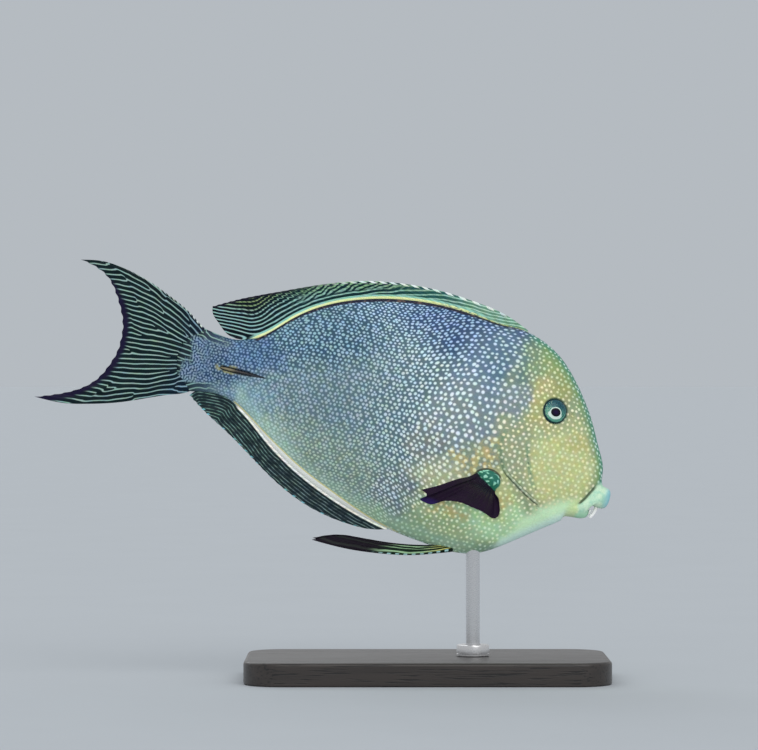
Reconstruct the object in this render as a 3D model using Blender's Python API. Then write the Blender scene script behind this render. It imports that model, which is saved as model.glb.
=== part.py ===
"""A bluespotted bristletooth, life size, swimming nose-down on a plain display stand.

The fish is drawn in its own frame, in millimetres: x runs forward along the body's axis from
the root of the tail fin, y to its left and z up. place() pitches it nose-down, lifts it onto
the stand and turns it into metres. Every piece of flesh is cut from one skin surface, and every
fin is one patch between four edge curves.
"""
import math

import bmesh
import bpy
import numpy as np
from mathutils import Matrix, Vector

MM = 0.001
GAP = 0.3                 # clear space between pieces that touch
PITCH = math.radians(13.5)

# Stand, in millimetres.
BASE_LENGTH = 156.0
BASE_DEPTH = 84.0
BASE_HEIGHT = 10.0
BASE_CORNER = 16.0
BASE_CHAMFER = 1.5
BELLY_CLEARANCE = 44.0    # from the top of the base up to the lowest point of the belly
ROD_RADIUS = 3.0
ROD_IN_BELLY = 9.0
ROD_ROOT_X = 136.0        # where the rod meets the belly, along the fish
COLLAR_RADIUS = 7.0
COLLAR_HEIGHT = 5.0
BASE_CENTRE_X = 103.0     # below the fish's centre of mass, along the fish

# How finely the solids are cut.
SIDE_STEPS = 17           # faces from back to belly on one side
HEAD_ROWS = 17            # rings of faces along each piece
TORSO_ROWS = 26
TAIL_ROWS = 9
LIP_ROWS = 9
FIN_STEPS = 6             # faces along a ray
TAIL_FIN_STEPS = 9
SOFT_EDGE = 0.7           # faces that meet at less than this angle are shaded as one
RAY_EDGE = 0.22           # less on the fins, where the ridges of the rays show

# Half the thickness of the fins, in millimetres. The rays stand out as ridges on the membrane,
# and the root swells into the flesh that the fin grows from over this share of its height.
MEMBRANE = 0.28
RAY_AT_ROOT = 0.75
RAY_AT_TIP = 0.36
ROOT_SWELL = 1.1
ROOT_RUN = 0.22


def smooth_curve(knots, values):
    """A natural cubic spline through the values at the knots, as a function of the knot parameter."""
    knots = np.asarray(knots, float)
    values = np.asarray(values, float).reshape(len(knots), -1)
    width = np.diff(knots)
    matrix = np.eye(len(knots))
    right = np.zeros_like(values)
    for i in range(1, len(knots) - 1):
        matrix[i, i - 1:i + 2] = width[i - 1], 2 * (width[i - 1] + width[i]), width[i]
        slope_after = (values[i + 1] - values[i]) / width[i]
        slope_before = (values[i] - values[i - 1]) / width[i - 1]
        right[i] = 6 * (slope_after - slope_before)
    bend = np.linalg.solve(matrix, right)

    def at(parameter):
        t = np.clip(np.asarray(parameter, float), knots[0], knots[-1])
        i = np.clip(np.searchsorted(knots, t, side="right") - 1, 0, len(width) - 1)
        h = width[i][..., None]
        before = (t - knots[i])[..., None]
        after = h - before
        curved = (bend[i] * after ** 3 + bend[i + 1] * before ** 3) / (6 * h)
        straight_before = (values[i] / h - bend[i] * h / 6) * after
        straight_after = (values[i + 1] / h - bend[i + 1] * h / 6) * before
        return curved + straight_before + straight_after

    return at


def edge_curve(points):
    """A smooth curve through points, as a function that runs from 0 to 1 by length."""
    points = np.asarray(points, float)
    run = np.concatenate([[0.0], np.cumsum(np.linalg.norm(np.diff(points, axis=0), axis=1))])
    return smooth_curve(run / run[-1], points)


def smooth_step(value, start, end):
    share = np.clip((np.asarray(value, float) - start) / (end - start), 0.0, 1.0)
    return share * share * (3 - 2 * share)


# Stations of the skin from the snout to the root of the tail fin. Each is one ring round the
# body, given by its points on the back, at the widest part of the flank and under the belly,
# all as (x, z), then by the half width there and by how sharp the back and the belly are.
BODY = {
    "lip_fold":    ((183.7, -11.6), (175.2, -20.6), (171.0, -27.8), 5.7, 0.50),
    "snout":       ((181.9, -4.4), (171.6, -15.4), (169.6, -29.8), 8.0, 0.50),
    "cheek_front": ((178.2, 3.6), (167.0, -10.2), (168.5, -31.0), 10.0, 0.50),
    "brow":        ((172.2, 15.0), (161.8, -4.2), (167.6, -31.7), 12.0, 0.50),
    "eye":         ((163.6, 27.2), (155.8, -0.5), (166.7, -32.4), 13.7, 0.51),
    "cheek_rear":  ((152.7, 38.2), (148.6, 1.2), (165.6, -33.2), 15.0, 0.52),
    "gill_edge":   ((138.5, 44.8), (137.6, 1.8), (163.8, -34.5), 16.2, 0.53),
    "shoulder":    ((126.0, 45.8), (123.5, 2.0), (151.0, -44.0), 17.0, 0.55),
    "chest":       ((112.5, 47.4), (108.0, 2.0), (135.0, -53.2), 17.0, 0.56),
    "belly":       ((97.7, 48.2), (92.0, 1.6), (114.5, -53.4), 16.2, 0.57),
    "mid_flank":   ((82.0, 46.9), (76.0, 1.0), (93.0, -50.2), 14.4, 0.58),
    "vent":        ((66.0, 43.3), (60.5, 0.6), (72.5, -44.2), 12.0, 0.58),
    "rear_flank":  ((50.0, 36.8), (46.0, 0.3), (53.0, -35.6), 9.4, 0.57),
    "taper":       ((37.0, 27.6), (34.0, 0.0), (38.0, -26.0), 7.2, 0.56),
    "tail_start":  ((25.5, 16.9), (23.5, 0.0), (25.3, -16.4), 5.5, 0.54),
    "narrowest":   ((16.5, 12.9), (15.5, 0.0), (16.5, -12.3), 4.6, 0.52),
    "flare":       ((7.5, 13.2), (7.5, 0.0), (7.5, -12.4), 3.9, 0.50),
    "tail_root":   ((0.0, 14.4), (0.0, 0.0), (0.0, -13.7), 3.0, 0.50),
}

# The lips go on from the fold: over their crown, to their edge and into the mouth.
LIPS = {
    "fold":      ((184.0, -11.8), (175.5, -20.7), (171.3, -27.9), 5.8, 0.50),
    "back":      ((186.3, -12.4), (177.8, -20.5), (174.4, -28.5), 6.6, 0.50),
    "crown":     ((187.9, -15.6), (180.2, -20.7), (178.3, -27.5), 6.2, 0.50),
    "edge":      ((187.2, -19.6), (180.7, -20.9), (180.2, -25.2), 5.3, 0.50),
    "rim":       ((185.0, -21.3), (179.4, -21.0), (180.0, -23.2), 4.4, 0.50),
    "inside":    ((181.4, -20.7), (178.0, -21.0), (178.4, -23.0), 3.2, 0.50),
}


def skin_through(stations):
    """The surface through the stations, as a function of distance along the body and of the
    angle round it, from 0 on the back to pi under the belly, and each station's own distance."""
    rows = np.array([[*top, *side, *low, half, sharp] for top, side, low, half, sharp in stations.values()])
    step = np.diff(rows[:, :6], axis=0).reshape(-1, 3, 2)
    knots = np.concatenate([[0.0], np.cumsum(np.linalg.norm(step, axis=2).mean(axis=1))])
    station = smooth_curve(knots, rows)

    def point(distance, angle):
        row = station(distance)
        up = np.cos(angle)[..., None]
        top, side, low = row[..., 0:2], row[..., 2:4], row[..., 4:6]
        xz = side + (top - low) / 2 * up + ((top + low) / 2 - side) * up ** 2
        reach = row[..., 6] * np.abs(np.sin(angle)) ** (2 * row[..., 7])
        return np.stack([xz[..., 0], reach, xz[..., 1]], axis=-1)

    return point, dict(zip(stations, knots))


skin, STATION_AT = skin_through(BODY)
lip_skin, LIP_AT = skin_through(LIPS)

# The gill cover's rear edge stands a little proud of the shoulder behind it, from below the nape
# to above the throat. Its ends are angles round the body.
GILL_LIFT = 0.8
GILL_LIFT_RUN = 9.0
GILL_TOP = (0.9, 1.35)
GILL_FOOT = (2.5, 2.95)
TAIL_CUT = STATION_AT["taper"] + 1.0


def head_skin(distance, angle):
    """The skin of the head, with the gill cover's edge lifted."""
    point = skin(distance, angle)
    near_edge = smooth_step(distance, STATION_AT["gill_edge"] - GILL_LIFT_RUN, STATION_AT["gill_edge"])
    on_cover = smooth_step(angle, *GILL_TOP) * (1 - smooth_step(angle, *GILL_FOOT))
    point[..., 1] += GILL_LIFT * near_edge * on_cover
    return point


def shift_along(surface, distance, angle, gap):
    """The distances that lie the gap further back along the surface than the given one."""
    probe = 0.05
    speed = np.linalg.norm(surface(distance + probe, angle) - surface(distance, angle), axis=-1) / probe
    return distance + gap / speed


def ring_rows(surface, start, end, rows, gap_before=0.0):
    """Rings of points from start to end, round both sides of the body."""
    half = np.linspace(0.0, math.pi, SIDE_STEPS + 1)
    start_at = shift_along(surface, np.full_like(half, start), half, gap_before)
    share = np.linspace(0.0, 1.0, rows + 1)[:, None]
    distance = start_at[None, :] * (1 - share) + end * share
    left = surface(distance, np.broadcast_to(half, distance.shape))
    right = left[:, -2:0:-1] * (1, -1, 1)
    return np.concatenate([left, right], axis=1)


def place(points):
    """From the fish's own frame, in millimetres, to the model's, in metres."""
    points = np.asarray(points, float)
    x, y, z = points[..., 0], points[..., 1], points[..., 2]
    across = x * math.cos(PITCH) + z * math.sin(PITCH)
    height = z * math.cos(PITCH) - x * math.sin(PITCH)
    return np.stack([across - CENTRE_ACROSS, y, height + TAIL_ROOT_HEIGHT], axis=-1) * MM


def finish(name, colour, roughness, metallic=0.0):
    material = bpy.data.materials.new(name)
    material.use_nodes = True
    shader = material.node_tree.nodes["Principled BSDF"]
    shader.inputs["Base Color"].default_value = (*colour, 1.0)
    shader.inputs["Roughness"].default_value = roughness
    shader.inputs["Metallic"].default_value = metallic
    return material


def add_shape(name, shell, material, sharp_angle=SOFT_EDGE):
    """A smooth-shaded object from a closed bmesh whose points are already in metres."""
    bmesh.ops.recalc_face_normals(shell, faces=shell.faces)
    mesh = bpy.data.meshes.new(name)
    shell.to_mesh(mesh)
    shell.free()
    mesh.shade_smooth()
    mesh.set_sharp_from_angle(angle=sharp_angle)
    mesh.materials.append(material)
    made = bpy.data.objects.new(name, mesh)
    bpy.context.scene.collection.objects.link(made)
    return made


def add_mesh(name, points, faces, material, sharp_angle=SOFT_EDGE):
    """The same from lists of points and faces. Points that coincide are merged."""
    shell = bmesh.new()
    corners = [shell.verts.new(point) for point in points]
    for face in faces:
        shell.faces.new([corners[i] for i in face])
    bmesh.ops.remove_doubles(shell, verts=shell.verts, dist=1e-7)
    return add_shape(name, shell, material, sharp_angle)


def cut_or_join(target, others, operation):
    """Applies a Boolean of the other meshes to the target, then removes them."""
    helpers = bpy.data.collections.new("helpers")
    for other in others:
        bpy.context.scene.collection.objects.unlink(other)
        helpers.objects.link(other)
    modifier = target.modifiers.new("shape", "BOOLEAN")
    modifier.operand_type = "COLLECTION"
    modifier.collection = helpers
    modifier.operation = operation
    modifier.solver = "EXACT"
    bpy.context.view_layer.update()
    shaped = bpy.data.meshes.new_from_object(target.evaluated_get(bpy.context.evaluated_depsgraph_get()))
    target.modifiers.clear()
    target.data = shaped
    for other in others:
        bpy.data.objects.remove(other)
    bpy.data.collections.remove(helpers)


def tube_faces(rows, columns):
    """Triangles of a closed tube of rings, with each end closed by rungs from side to side."""
    faces = []
    for i in range(rows):
        for j in range(columns):
            a, b = i * columns + j, i * columns + (j + 1) % columns
            faces += [(a, b, b + columns), (a, b + columns, a + columns)]
    for first, flip in ((0, True), (rows * columns, False)):
        for j in range(columns // 2):
            left = (first + j, first + j + 1)
            right = (first + (columns - j) % columns, first + columns - j - 1)
            rung = [left[0], left[1], right[1], right[0]]
            rung = list(dict.fromkeys(rung))
            for k in range(1, len(rung) - 1):
                triangle = (rung[0], rung[k], rung[k + 1])
                faces.append(triangle[::-1] if flip else triangle)
    return faces


def flesh(name, surface, start, end, rows, material, gap_before=0.0):
    rings = ring_rows(surface, start, end, rows, gap_before)
    columns = rings.shape[1]
    return add_mesh(name, place(rings.reshape(-1, 3)), tube_faces(rows, columns), material)


def skin_at(x, z):
    """The point of the left flank over (x, z), and the way that the skin faces there."""
    low = np.array([0.0, 0.02])
    high = np.array([STATION_AT["tail_root"], math.pi - 0.02])
    for _ in range(6):
        distance, angle = np.meshgrid(*[np.linspace(a, b, 41) for a, b in zip(low, high)], indexing="ij")
        found = skin(distance, angle)
        miss = (found[..., 0] - x) ** 2 + (found[..., 2] - z) ** 2
        best = np.unravel_index(np.argmin(miss), miss.shape)
        centre = np.array([distance[best], angle[best]])
        reach = (high - low) / 20
        low, high = centre - reach, centre + reach
    here = skin(centre[0], np.array(centre[1]))
    along = skin(centre[0] + 0.2, np.array(centre[1])) - here
    round_it = skin(centre[0], np.array(centre[1] + 0.01)) - here
    normal = np.cross(along, round_it)
    normal = normal / np.linalg.norm(normal)
    return here, normal if normal[1] > 0 else -normal


# Fins. A fin is a patch between its root, its outer edge, its first ray and its last ray.
def fin_patch(root, outer, first, last, hold=1.0):
    """The smooth patch between four edge curves, as a function of (across the rays, along a ray).
    The first and last rays pass their bend on to the rays beside them, to fewer with more hold."""
    def at(across, along):
        across, along = np.broadcast_arrays(np.asarray(across, float), np.asarray(along, float))
        u, v = across[..., None], along[..., None]
        straight = (1 - v) * root(across) + v * outer(across)
        first_bend = first(along) - (1 - v) * root(0.0) - v * outer(0.0)
        last_bend = last(along) - (1 - v) * root(1.0) - v * outer(1.0)
        return straight + (1 - u) ** hold * first_bend + u ** hold * last_bend
    return at


def patch_normal(patch, across, along):
    step = 1e-3
    u0, u1 = np.clip(across - step, 0, 1), np.clip(across + step, 0, 1)
    v0, v1 = np.clip(along - step, 0, 1), np.clip(along + step, 0, 1)
    normal = np.cross(patch(u1, along) - patch(u0, along), patch(across, v1) - patch(across, v0))
    return normal / np.linalg.norm(normal, axis=-1, keepdims=True)


def fin_solid(name, patch, rays, thickness, material, spread=(0.0, 1.0), steps=FIN_STEPS):
    """A fin's closed solid. thickness gives half of it, from (across, along, is it a ray)."""
    columns = 2 * rays - 1
    across = np.linspace(spread[0], spread[1], columns)
    along = np.linspace(0.0, 1.0, steps + 1)
    u, v = np.meshgrid(across, along, indexing="ij")
    is_ray = np.broadcast_to((np.arange(columns) % 2 == 0)[:, None], u.shape)
    middle = patch(u, v)
    offset = patch_normal(patch, u, v) * thickness(u, v, is_ray)[..., None]
    points = np.concatenate([(middle + offset).reshape(-1, 3), (middle - offset).reshape(-1, 3)])
    rows = steps + 1
    other = columns * rows
    faces = []
    for i in range(columns - 1):
        for j in range(rows - 1):
            a, b = i * rows + j, (i + 1) * rows + j
            faces += [(a, b, b + 1), (a, b + 1, a + 1)]
            faces += [(a + other, b + 1 + other, b + other), (a + other, a + 1 + other, b + 1 + other)]
    rim = ([(i * rows, (i + 1) * rows) for i in range(columns - 1)]
           + [((columns - 1) * rows + j, (columns - 1) * rows + j + 1) for j in range(rows - 1)]
           + [((i + 1) * rows + rows - 1, i * rows + rows - 1) for i in range(columns - 1)]
           + [(j + 1, j) for j in range(rows - 1)])
    for a, b in rim:
        faces += [(a, a + other, b + other), (a, b + other, b)]
    return add_mesh(name, place(points), faces, material, RAY_EDGE)


def ridged(swell=ROOT_SWELL, run=ROOT_RUN):
    """Half the thickness of a fin: rays over membrane, with a root that swells to the given half
    thickness, or to what a function of the place across the rays gives."""
    def half(across, along, is_ray):
        ray = RAY_AT_ROOT + (RAY_AT_TIP - RAY_AT_ROOT) * along
        flat = np.where(is_ray, ray, MEMBRANE)
        root = (swell(across) if callable(swell) else swell) * (1 - smooth_step(along, 0.0, run))
        return np.sqrt(flat ** 2 + root ** 2)
    return half


def flat_points(points):
    return [(x, 0.0, z) for x, z in points]


def leaning(outer, lean):
    """The outer edge, read further back in mid-fin, so that the rays lie back."""
    return lambda share: outer(np.clip(share + lean * np.sin(np.pi * np.asarray(share)), 0, 1))


def middle_root(first, last, side, points):
    """A fin's root along the back (side 0) or the belly (side pi), a gap clear of the skin."""
    distance = np.linspace(first, last, points)
    angle = np.full_like(distance, side)
    at = skin(distance, angle)
    along = np.gradient(at, axis=0)
    along /= np.linalg.norm(along, axis=1, keepdims=True)
    out = np.stack([along[:, 2], 0 * along[:, 0], -along[:, 0]], axis=1)
    out *= np.sign(out[:, 2:3]) * (1 if side == 0 else -1)
    return edge_curve(at + out * (GAP + ROOT_CLEARANCE))


ROOT_CLEARANCE = 0.1      # beyond the gap, for the root's swell over the curved back
DORSAL_START = STATION_AT["gill_edge"] + 0.5
DORSAL_END = STATION_AT["tail_start"] + 2.0
DORSAL_SPINES = 8
DORSAL_SOFT_RAYS = 27
DORSAL_SPLIT = 0.245      # share of the fin that the spines take
DORSAL_LEAN = 0.11
DORSAL_SPLIT_GAP = 0.005
BEND_HOLD = 8.0
DORSAL_EDGE = [(136.5, 46.0), (125.4, 50.3), (111.7, 52.6), (98.1, 53.7), (85.0, 53.4), (65.7, 50.7),
               (47.0, 44.9), (29.1, 37.3), (12.0, 29.6), (2.4, 24.4)]
DORSAL_REAR = [(10.8, 14.2), (4.0, 18.8)]

ANAL_START = STATION_AT["mid_flank"] - 3.5
ANAL_END = STATION_AT["tail_start"] + 2.0
ANAL_RAYS = 28
ANAL_LEAN = 0.10
ANAL_EDGE = [(99.0, -52.7), (90.9, -53.2), (80.9, -53.1), (67.0, -51.0), (52.1, -45.7),
             (36.4, -36.7), (20.4, -26.6), (9.0, -20.2), (1.6, -15.9)]
ANAL_REAR = [(14.0, -13.9), (7.0, -14.4)]


def build_middle_fins(material):
    root = middle_root(DORSAL_START, DORSAL_END, 0.0, 24)
    outer = edge_curve(flat_points(DORSAL_EDGE))
    first = edge_curve([root(0.0), outer(0.0)])
    last = edge_curve([root(1.0), *flat_points(DORSAL_REAR), outer(1.0)])
    patch = fin_patch(root, leaning(outer, DORSAL_LEAN), first, last, hold=BEND_HOLD)
    fin_solid("dorsal_fin_spiny", patch, DORSAL_SPINES, ridged(), material,
              spread=(0.0, DORSAL_SPLIT - DORSAL_SPLIT_GAP))
    fin_solid("dorsal_fin_soft", patch, DORSAL_SOFT_RAYS, ridged(), material,
              spread=(DORSAL_SPLIT + DORSAL_SPLIT_GAP, 1.0))
    root = middle_root(ANAL_START, ANAL_END, math.pi, 20)
    outer = edge_curve(flat_points(ANAL_EDGE))
    first = edge_curve([root(0.0), outer(0.0)])
    last = edge_curve([root(1.0), *flat_points(ANAL_REAR), outer(1.0)])
    patch = fin_patch(root, leaning(outer, ANAL_LEAN), first, last, hold=BEND_HOLD)
    fin_solid("anal_fin", patch, ANAL_RAYS, ridged(), material)


# Tail fin: two lobes that meet on the middle line, each with its own long outer ray.
CAUDAL_RAYS_PER_LOBE = 10
CAUDAL_ROOT_X = -GAP
CAUDAL_ROOT_HALF = 2.9    # half the thickness of the flesh on the middle line
CAUDAL_EDGE_HALF = 0.4
CAUDAL_ROOT_RUN = 0.3
UPPER_LOBE_OUTER = [(CAUDAL_ROOT_X, 15.2), (-5.8, 19.0), (-16.3, 24.3), (-26.7, 28.5), (-39.7, 31.6),
                    (-48.0, 32.2), (-57.4, 30.6)]
UPPER_LOBE_REAR = [(-32.8, GAP / 2), (-33.5, 7.7), (-36.3, 14.6), (-40.5, 21.6), (-44.8, 26.2),
                   (-50.4, 29.0), (-57.4, 30.6)]
LOWER_LOBE_OUTER = [(CAUDAL_ROOT_X, -14.5), (-6.5, -16.9), (-17.8, -21.5), (-29.1, -25.9),
                    (-40.8, -29.2), (-49.6, -31.0), (-63.0, -31.3)]
LOWER_LOBE_REAR = [(-32.8, -GAP / 2), (-33.2, -4.5), (-34.6, -9.2), (-37.7, -15.9), (-41.5, -20.6),
                   (-48.5, -25.4), (-63.0, -31.3)]


def tail_root_swell(across):
    """The flesh at the root of a lobe, from the middle line out to the lobe's edge."""
    round_over = np.sqrt(np.clip(1 - across ** 2, 0, 1))
    return CAUDAL_EDGE_HALF + (CAUDAL_ROOT_HALF - CAUDAL_EDGE_HALF) * round_over


def build_tail_fin(material):
    half = ridged(tail_root_swell, CAUDAL_ROOT_RUN)
    for name, outer_edge, rear_edge in (("tail_fin_upper_lobe", UPPER_LOBE_OUTER, UPPER_LOBE_REAR),
                                        ("tail_fin_lower_lobe", LOWER_LOBE_OUTER, LOWER_LOBE_REAR)):
        middle = rear_edge[0][1]
        root = edge_curve(flat_points([(CAUDAL_ROOT_X, middle), outer_edge[0]]))
        outer = edge_curve(flat_points(rear_edge))
        first = edge_curve(flat_points([(CAUDAL_ROOT_X, middle), rear_edge[0]]))
        last = edge_curve(flat_points(outer_edge))
        fin_solid(name, fin_patch(root, outer, first, last), CAUDAL_RAYS_PER_LOBE, half, material,
                  steps=TAIL_FIN_STEPS)


# Paired fins, given for the left side as (x, y, z).
PECTORAL_RAYS = 15
PECTORAL_STAND_OFF = GAP + 0.66   # from the skin to the middle of the slanting root
PECTORAL_SWELL = 1.5
PECTORAL_RUN = 0.3
PECTORAL_ROOT_TOP = (130.5, -16.8)
PECTORAL_ROOT_LOW = (139.8, -22.8)
PECTORAL_LONG_TIP = (108.4, 56.0, -31.6)
PECTORAL_LONG_BEND = (122.0, 37.5, -22.3)
PECTORAL_SHORT_TIP = (142.3, 27.5, -35.2)
PECTORAL_EDGE = [(110.6, 55.0, -35.9), (119.4, 48.0, -34.6), (127.5, 40.5, -33.6), (136.5, 32.0, -34.8)]

PELVIC_RAYS = 6
PELVIC_OUTER = [(127.2, 3.4, -54.5), (114.0, 6.2, -58.2), (97.0, 9.0, -61.6), (82.0, 9.6, -63.0),
                (67.4, 9.4, -62.8)]
PELVIC_INNER = [(121.2, 2.0, -54.6), (108.0, 2.6, -56.0), (91.0, 4.6, -57.6)]
PELVIC_EDGE = [(73.8, 7.6, -59.9), (81.5, 5.9, -58.2)]


def off_skin(x, z, distance):
    """A point at a distance from the skin of the left flank over (x, z)."""
    point, outward = skin_at(x, z)
    return point + outward * distance


def mirrored(patch):
    """The same patch on the fish's right side."""
    return lambda across, along: patch(across, along) * (1, -1, 1)


def build_paired_fins(dark, striped):
    root_middle = [(a + b) / 2 for a, b in zip(PECTORAL_ROOT_TOP, PECTORAL_ROOT_LOW)]
    root_points = [off_skin(x, z, PECTORAL_STAND_OFF) for x, z in
                   (PECTORAL_ROOT_TOP, root_middle, PECTORAL_ROOT_LOW)]
    pectoral = fin_patch(edge_curve(root_points),
                         edge_curve([PECTORAL_LONG_TIP, *PECTORAL_EDGE, PECTORAL_SHORT_TIP]),
                         edge_curve([root_points[0], PECTORAL_LONG_BEND, PECTORAL_LONG_TIP]),
                         edge_curve([root_points[2], PECTORAL_SHORT_TIP]))
    pelvic = fin_patch(edge_curve([PELVIC_OUTER[0], PELVIC_INNER[0]]),
                       edge_curve([PELVIC_OUTER[-1], *PELVIC_EDGE, PELVIC_INNER[-1]]),
                       edge_curve(PELVIC_OUTER),
                       edge_curve(PELVIC_INNER))
    pectoral_half = ridged(PECTORAL_SWELL, PECTORAL_RUN)
    fin_solid("pectoral_fin_left", pectoral, PECTORAL_RAYS, pectoral_half, dark)
    fin_solid("pectoral_fin_right", mirrored(pectoral), PECTORAL_RAYS, pectoral_half, dark)
    fin_solid("pelvic_fin_left", pelvic, PELVIC_RAYS, ridged(), striped)
    fin_solid("pelvic_fin_right", mirrored(pelvic), PELVIC_RAYS, ridged(), striped)


# Eyes, nostrils and the knife-like spines at the root of the tail.
EYE_XZ = (155.6, 14.9)
EYE_RADIUS = 5.8
EYE_DEPTH = 4.4           # half of the eyeball's thickness, across the head
EYE_SUNK = 2.0            # how far the eyeball's middle lies under the skin
RIM_RADIUS = 6.1
RIM_THICKNESS = 0.7
RIM_SUNK = 0.15
NOSTRILS = (((163.6, 15.2), 0.75), ((162.2, 12.0), 0.6))
NOSTRIL_DEPTH = 1.3
SPINE_XZ = (19.4, -0.4)
SPINE_LENGTH = 15.4
SPINE_HEIGHT = 1.9
SPINE_THICKNESS = 2.2
SPINE_SUNK = 0.45


def ellipsoid(radius, depth, segments=20, rings=10):
    """A flattened ball whose short axis is Z."""
    shell = bmesh.new()
    bmesh.ops.create_uvsphere(shell, u_segments=segments, v_segments=rings, radius=radius * MM)
    bmesh.ops.scale(shell, vec=(1, 1, depth / radius), verts=shell.verts)
    return shell


def round_rim(radius, thickness, around=20, across=6):
    """A ring with a round section, about Z."""
    shell = bmesh.new()
    rows = []
    for i in range(around):
        turn = 2 * math.pi * i / around
        row = []
        for j in range(across):
            tilt = 2 * math.pi * j / across
            reach = radius + thickness * math.cos(tilt)
            corner = Vector((reach * math.cos(turn), reach * math.sin(turn), thickness * math.sin(tilt)))
            row.append(shell.verts.new(corner * MM))
        rows.append(row)
    for i in range(around):
        for j in range(across):
            after = (i + 1) % around
            beside = (j + 1) % across
            shell.faces.new((rows[i][j], rows[after][j], rows[after][beside], rows[i][beside]))
    return shell


def blade(grow=0.0):
    """A slender spine along X, pointed at both ends, or the groove that it lies in."""
    shell = bmesh.new()
    bmesh.ops.create_uvsphere(shell, u_segments=12, v_segments=10, radius=0.5 * MM)
    for vertex in shell.verts:
        x, y, z = vertex.co
        vertex.co = (z * (SPINE_LENGTH + 2 * grow),
                     y * (SPINE_THICKNESS + 2 * grow),
                     x * (SPINE_HEIGHT + 2 * grow))
    return shell


def cylinder(radius, low, high, segments=20, hole=0.0):
    """An upright round bar, or a ring when it has a hole."""
    shell = bmesh.new()

    def circle(reach, z):
        turns = [2 * math.pi * i / segments for i in range(segments)]
        return [shell.verts.new(Vector((reach * math.cos(t), reach * math.sin(t), z)) * MM) for t in turns]

    outer = [circle(radius, low), circle(radius, high)]
    inner = [circle(hole, low), circle(hole, high)] if hole else None
    walls = [(outer[0], outer[1])]
    if inner:
        walls += [(inner[0], inner[1]), (outer[0], inner[0]), (outer[1], inner[1])]
    else:
        shell.faces.new(outer[0])
        shell.faces.new(outer[1])
    for one, other in walls:
        for i in range(segments):
            j = (i + 1) % segments
            shell.faces.new((one[i], one[j], other[j], other[i]))
    return shell


def rounded_plate(length, depth, height, corner, chamfer, steps=6):
    """A flat plate with round corners and a chamfer round its top."""
    shell = bmesh.new()

    def outline(inset, z):
        ring = []
        for k, (sx, sy) in enumerate(((1, 1), (-1, 1), (-1, -1), (1, -1))):
            for i in range(steps + 1):
                turn = math.pi / 2 * (k + i / steps)
                x = sx * (length / 2 - corner) + (corner - inset) * math.cos(turn)
                y = sy * (depth / 2 - corner) + (corner - inset) * math.sin(turn)
                ring.append(shell.verts.new(Vector((x, y, z)) * MM))
        return ring

    rings = [outline(0.0, 0.0), outline(0.0, height - chamfer), outline(chamfer, height)]
    for lower, upper in zip(rings, rings[1:]):
        for i in range(len(lower)):
            j = (i + 1) % len(lower)
            shell.faces.new((lower[i], lower[j], upper[j], upper[i]))
    shell.faces.new(rings[0])
    shell.faces.new(rings[-1])
    return shell


def add_moved(name, shell, matrix, material):
    bmesh.ops.transform(shell, matrix=matrix, verts=shell.verts)
    return add_shape(name, shell, material)


def on_flank(point, normal, sunk, side):
    """The matrix that sets a shape on a flank, with its Z axis along the skin's outward normal.
    side is 1 for the left and -1 for the right."""
    turn_over = np.array((1, side, 1))
    outward = Matrix.Rotation(PITCH, 3, "Y") @ Vector(normal * turn_over)
    turn = outward.to_track_quat("Z", "Y").to_matrix().to_4x4()
    return Matrix.Translation(place((point - normal * sunk) * turn_over)) @ turn


def build_head_details(head, eye_material, skin_material):
    eye_point, eye_normal = skin_at(*EYE_XZ)
    rims = []
    cutters = []
    for name, side in (("left", 1), ("right", -1)):
        at_eye = on_flank(eye_point, eye_normal, EYE_SUNK, side)
        add_moved(f"eye_{name}", ellipsoid(EYE_RADIUS, EYE_DEPTH), at_eye, eye_material)
        socket = ellipsoid(EYE_RADIUS + GAP, EYE_DEPTH + GAP)
        cutters.append(add_moved("socket", socket, at_eye, skin_material))
        at_rim = on_flank(eye_point, eye_normal, RIM_SUNK, side)
        rims.append(add_moved("rim", round_rim(RIM_RADIUS, RIM_THICKNESS), at_rim, skin_material))
        for (x, z), radius in NOSTRILS:
            pit = ellipsoid(radius, NOSTRIL_DEPTH, segments=8, rings=6)
            cutters.append(add_moved("nostril", pit, on_flank(*skin_at(x, z), 0.0, side), skin_material))
    cut_or_join(head, rims, "UNION")
    cut_or_join(head, cutters, "DIFFERENCE")


def build_tail_spines(tail, material):
    point, normal = skin_at(*SPINE_XZ)
    front, _ = skin_at(SPINE_XZ[0] + SPINE_LENGTH / 4, SPINE_XZ[1])
    rear, _ = skin_at(SPINE_XZ[0] - SPINE_LENGTH / 4, SPINE_XZ[1])
    slope = math.atan2(front[1] - rear[1], front[0] - rear[0])
    grooves = []
    for name, side in (("left", 1), ("right", -1)):
        centre = place((point - normal * SPINE_SUNK) * (1, side, 1))
        turn = Matrix.Rotation(PITCH, 4, "Y") @ Matrix.Rotation(side * slope, 4, "Z")
        at_spine = Matrix.Translation(centre) @ turn
        add_moved(f"tail_spine_{name}", blade(), at_spine, material)
        grooves.append(add_moved("groove", blade(GAP), at_spine, material))
    cut_or_join(tail, grooves, "DIFFERENCE")


# Teeth: the comb of fine bristles that hangs from the upper lip in a shallow arc.
TEETH = 13
TEETH_HALF_ARC = 3.3
TEETH_FRONT_X = 183.2
TEETH_CURVE = 8.5         # the ends stand back by the half arc squared over this
TEETH_TOP_Z = -21.6
TOOTH_TIP_Z = -26.2
TOOTH_NOTCH_Z = -24.0
TOOTH_LEAN = 0.2
TEETH_HALF_THICKNESS = 0.28


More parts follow.
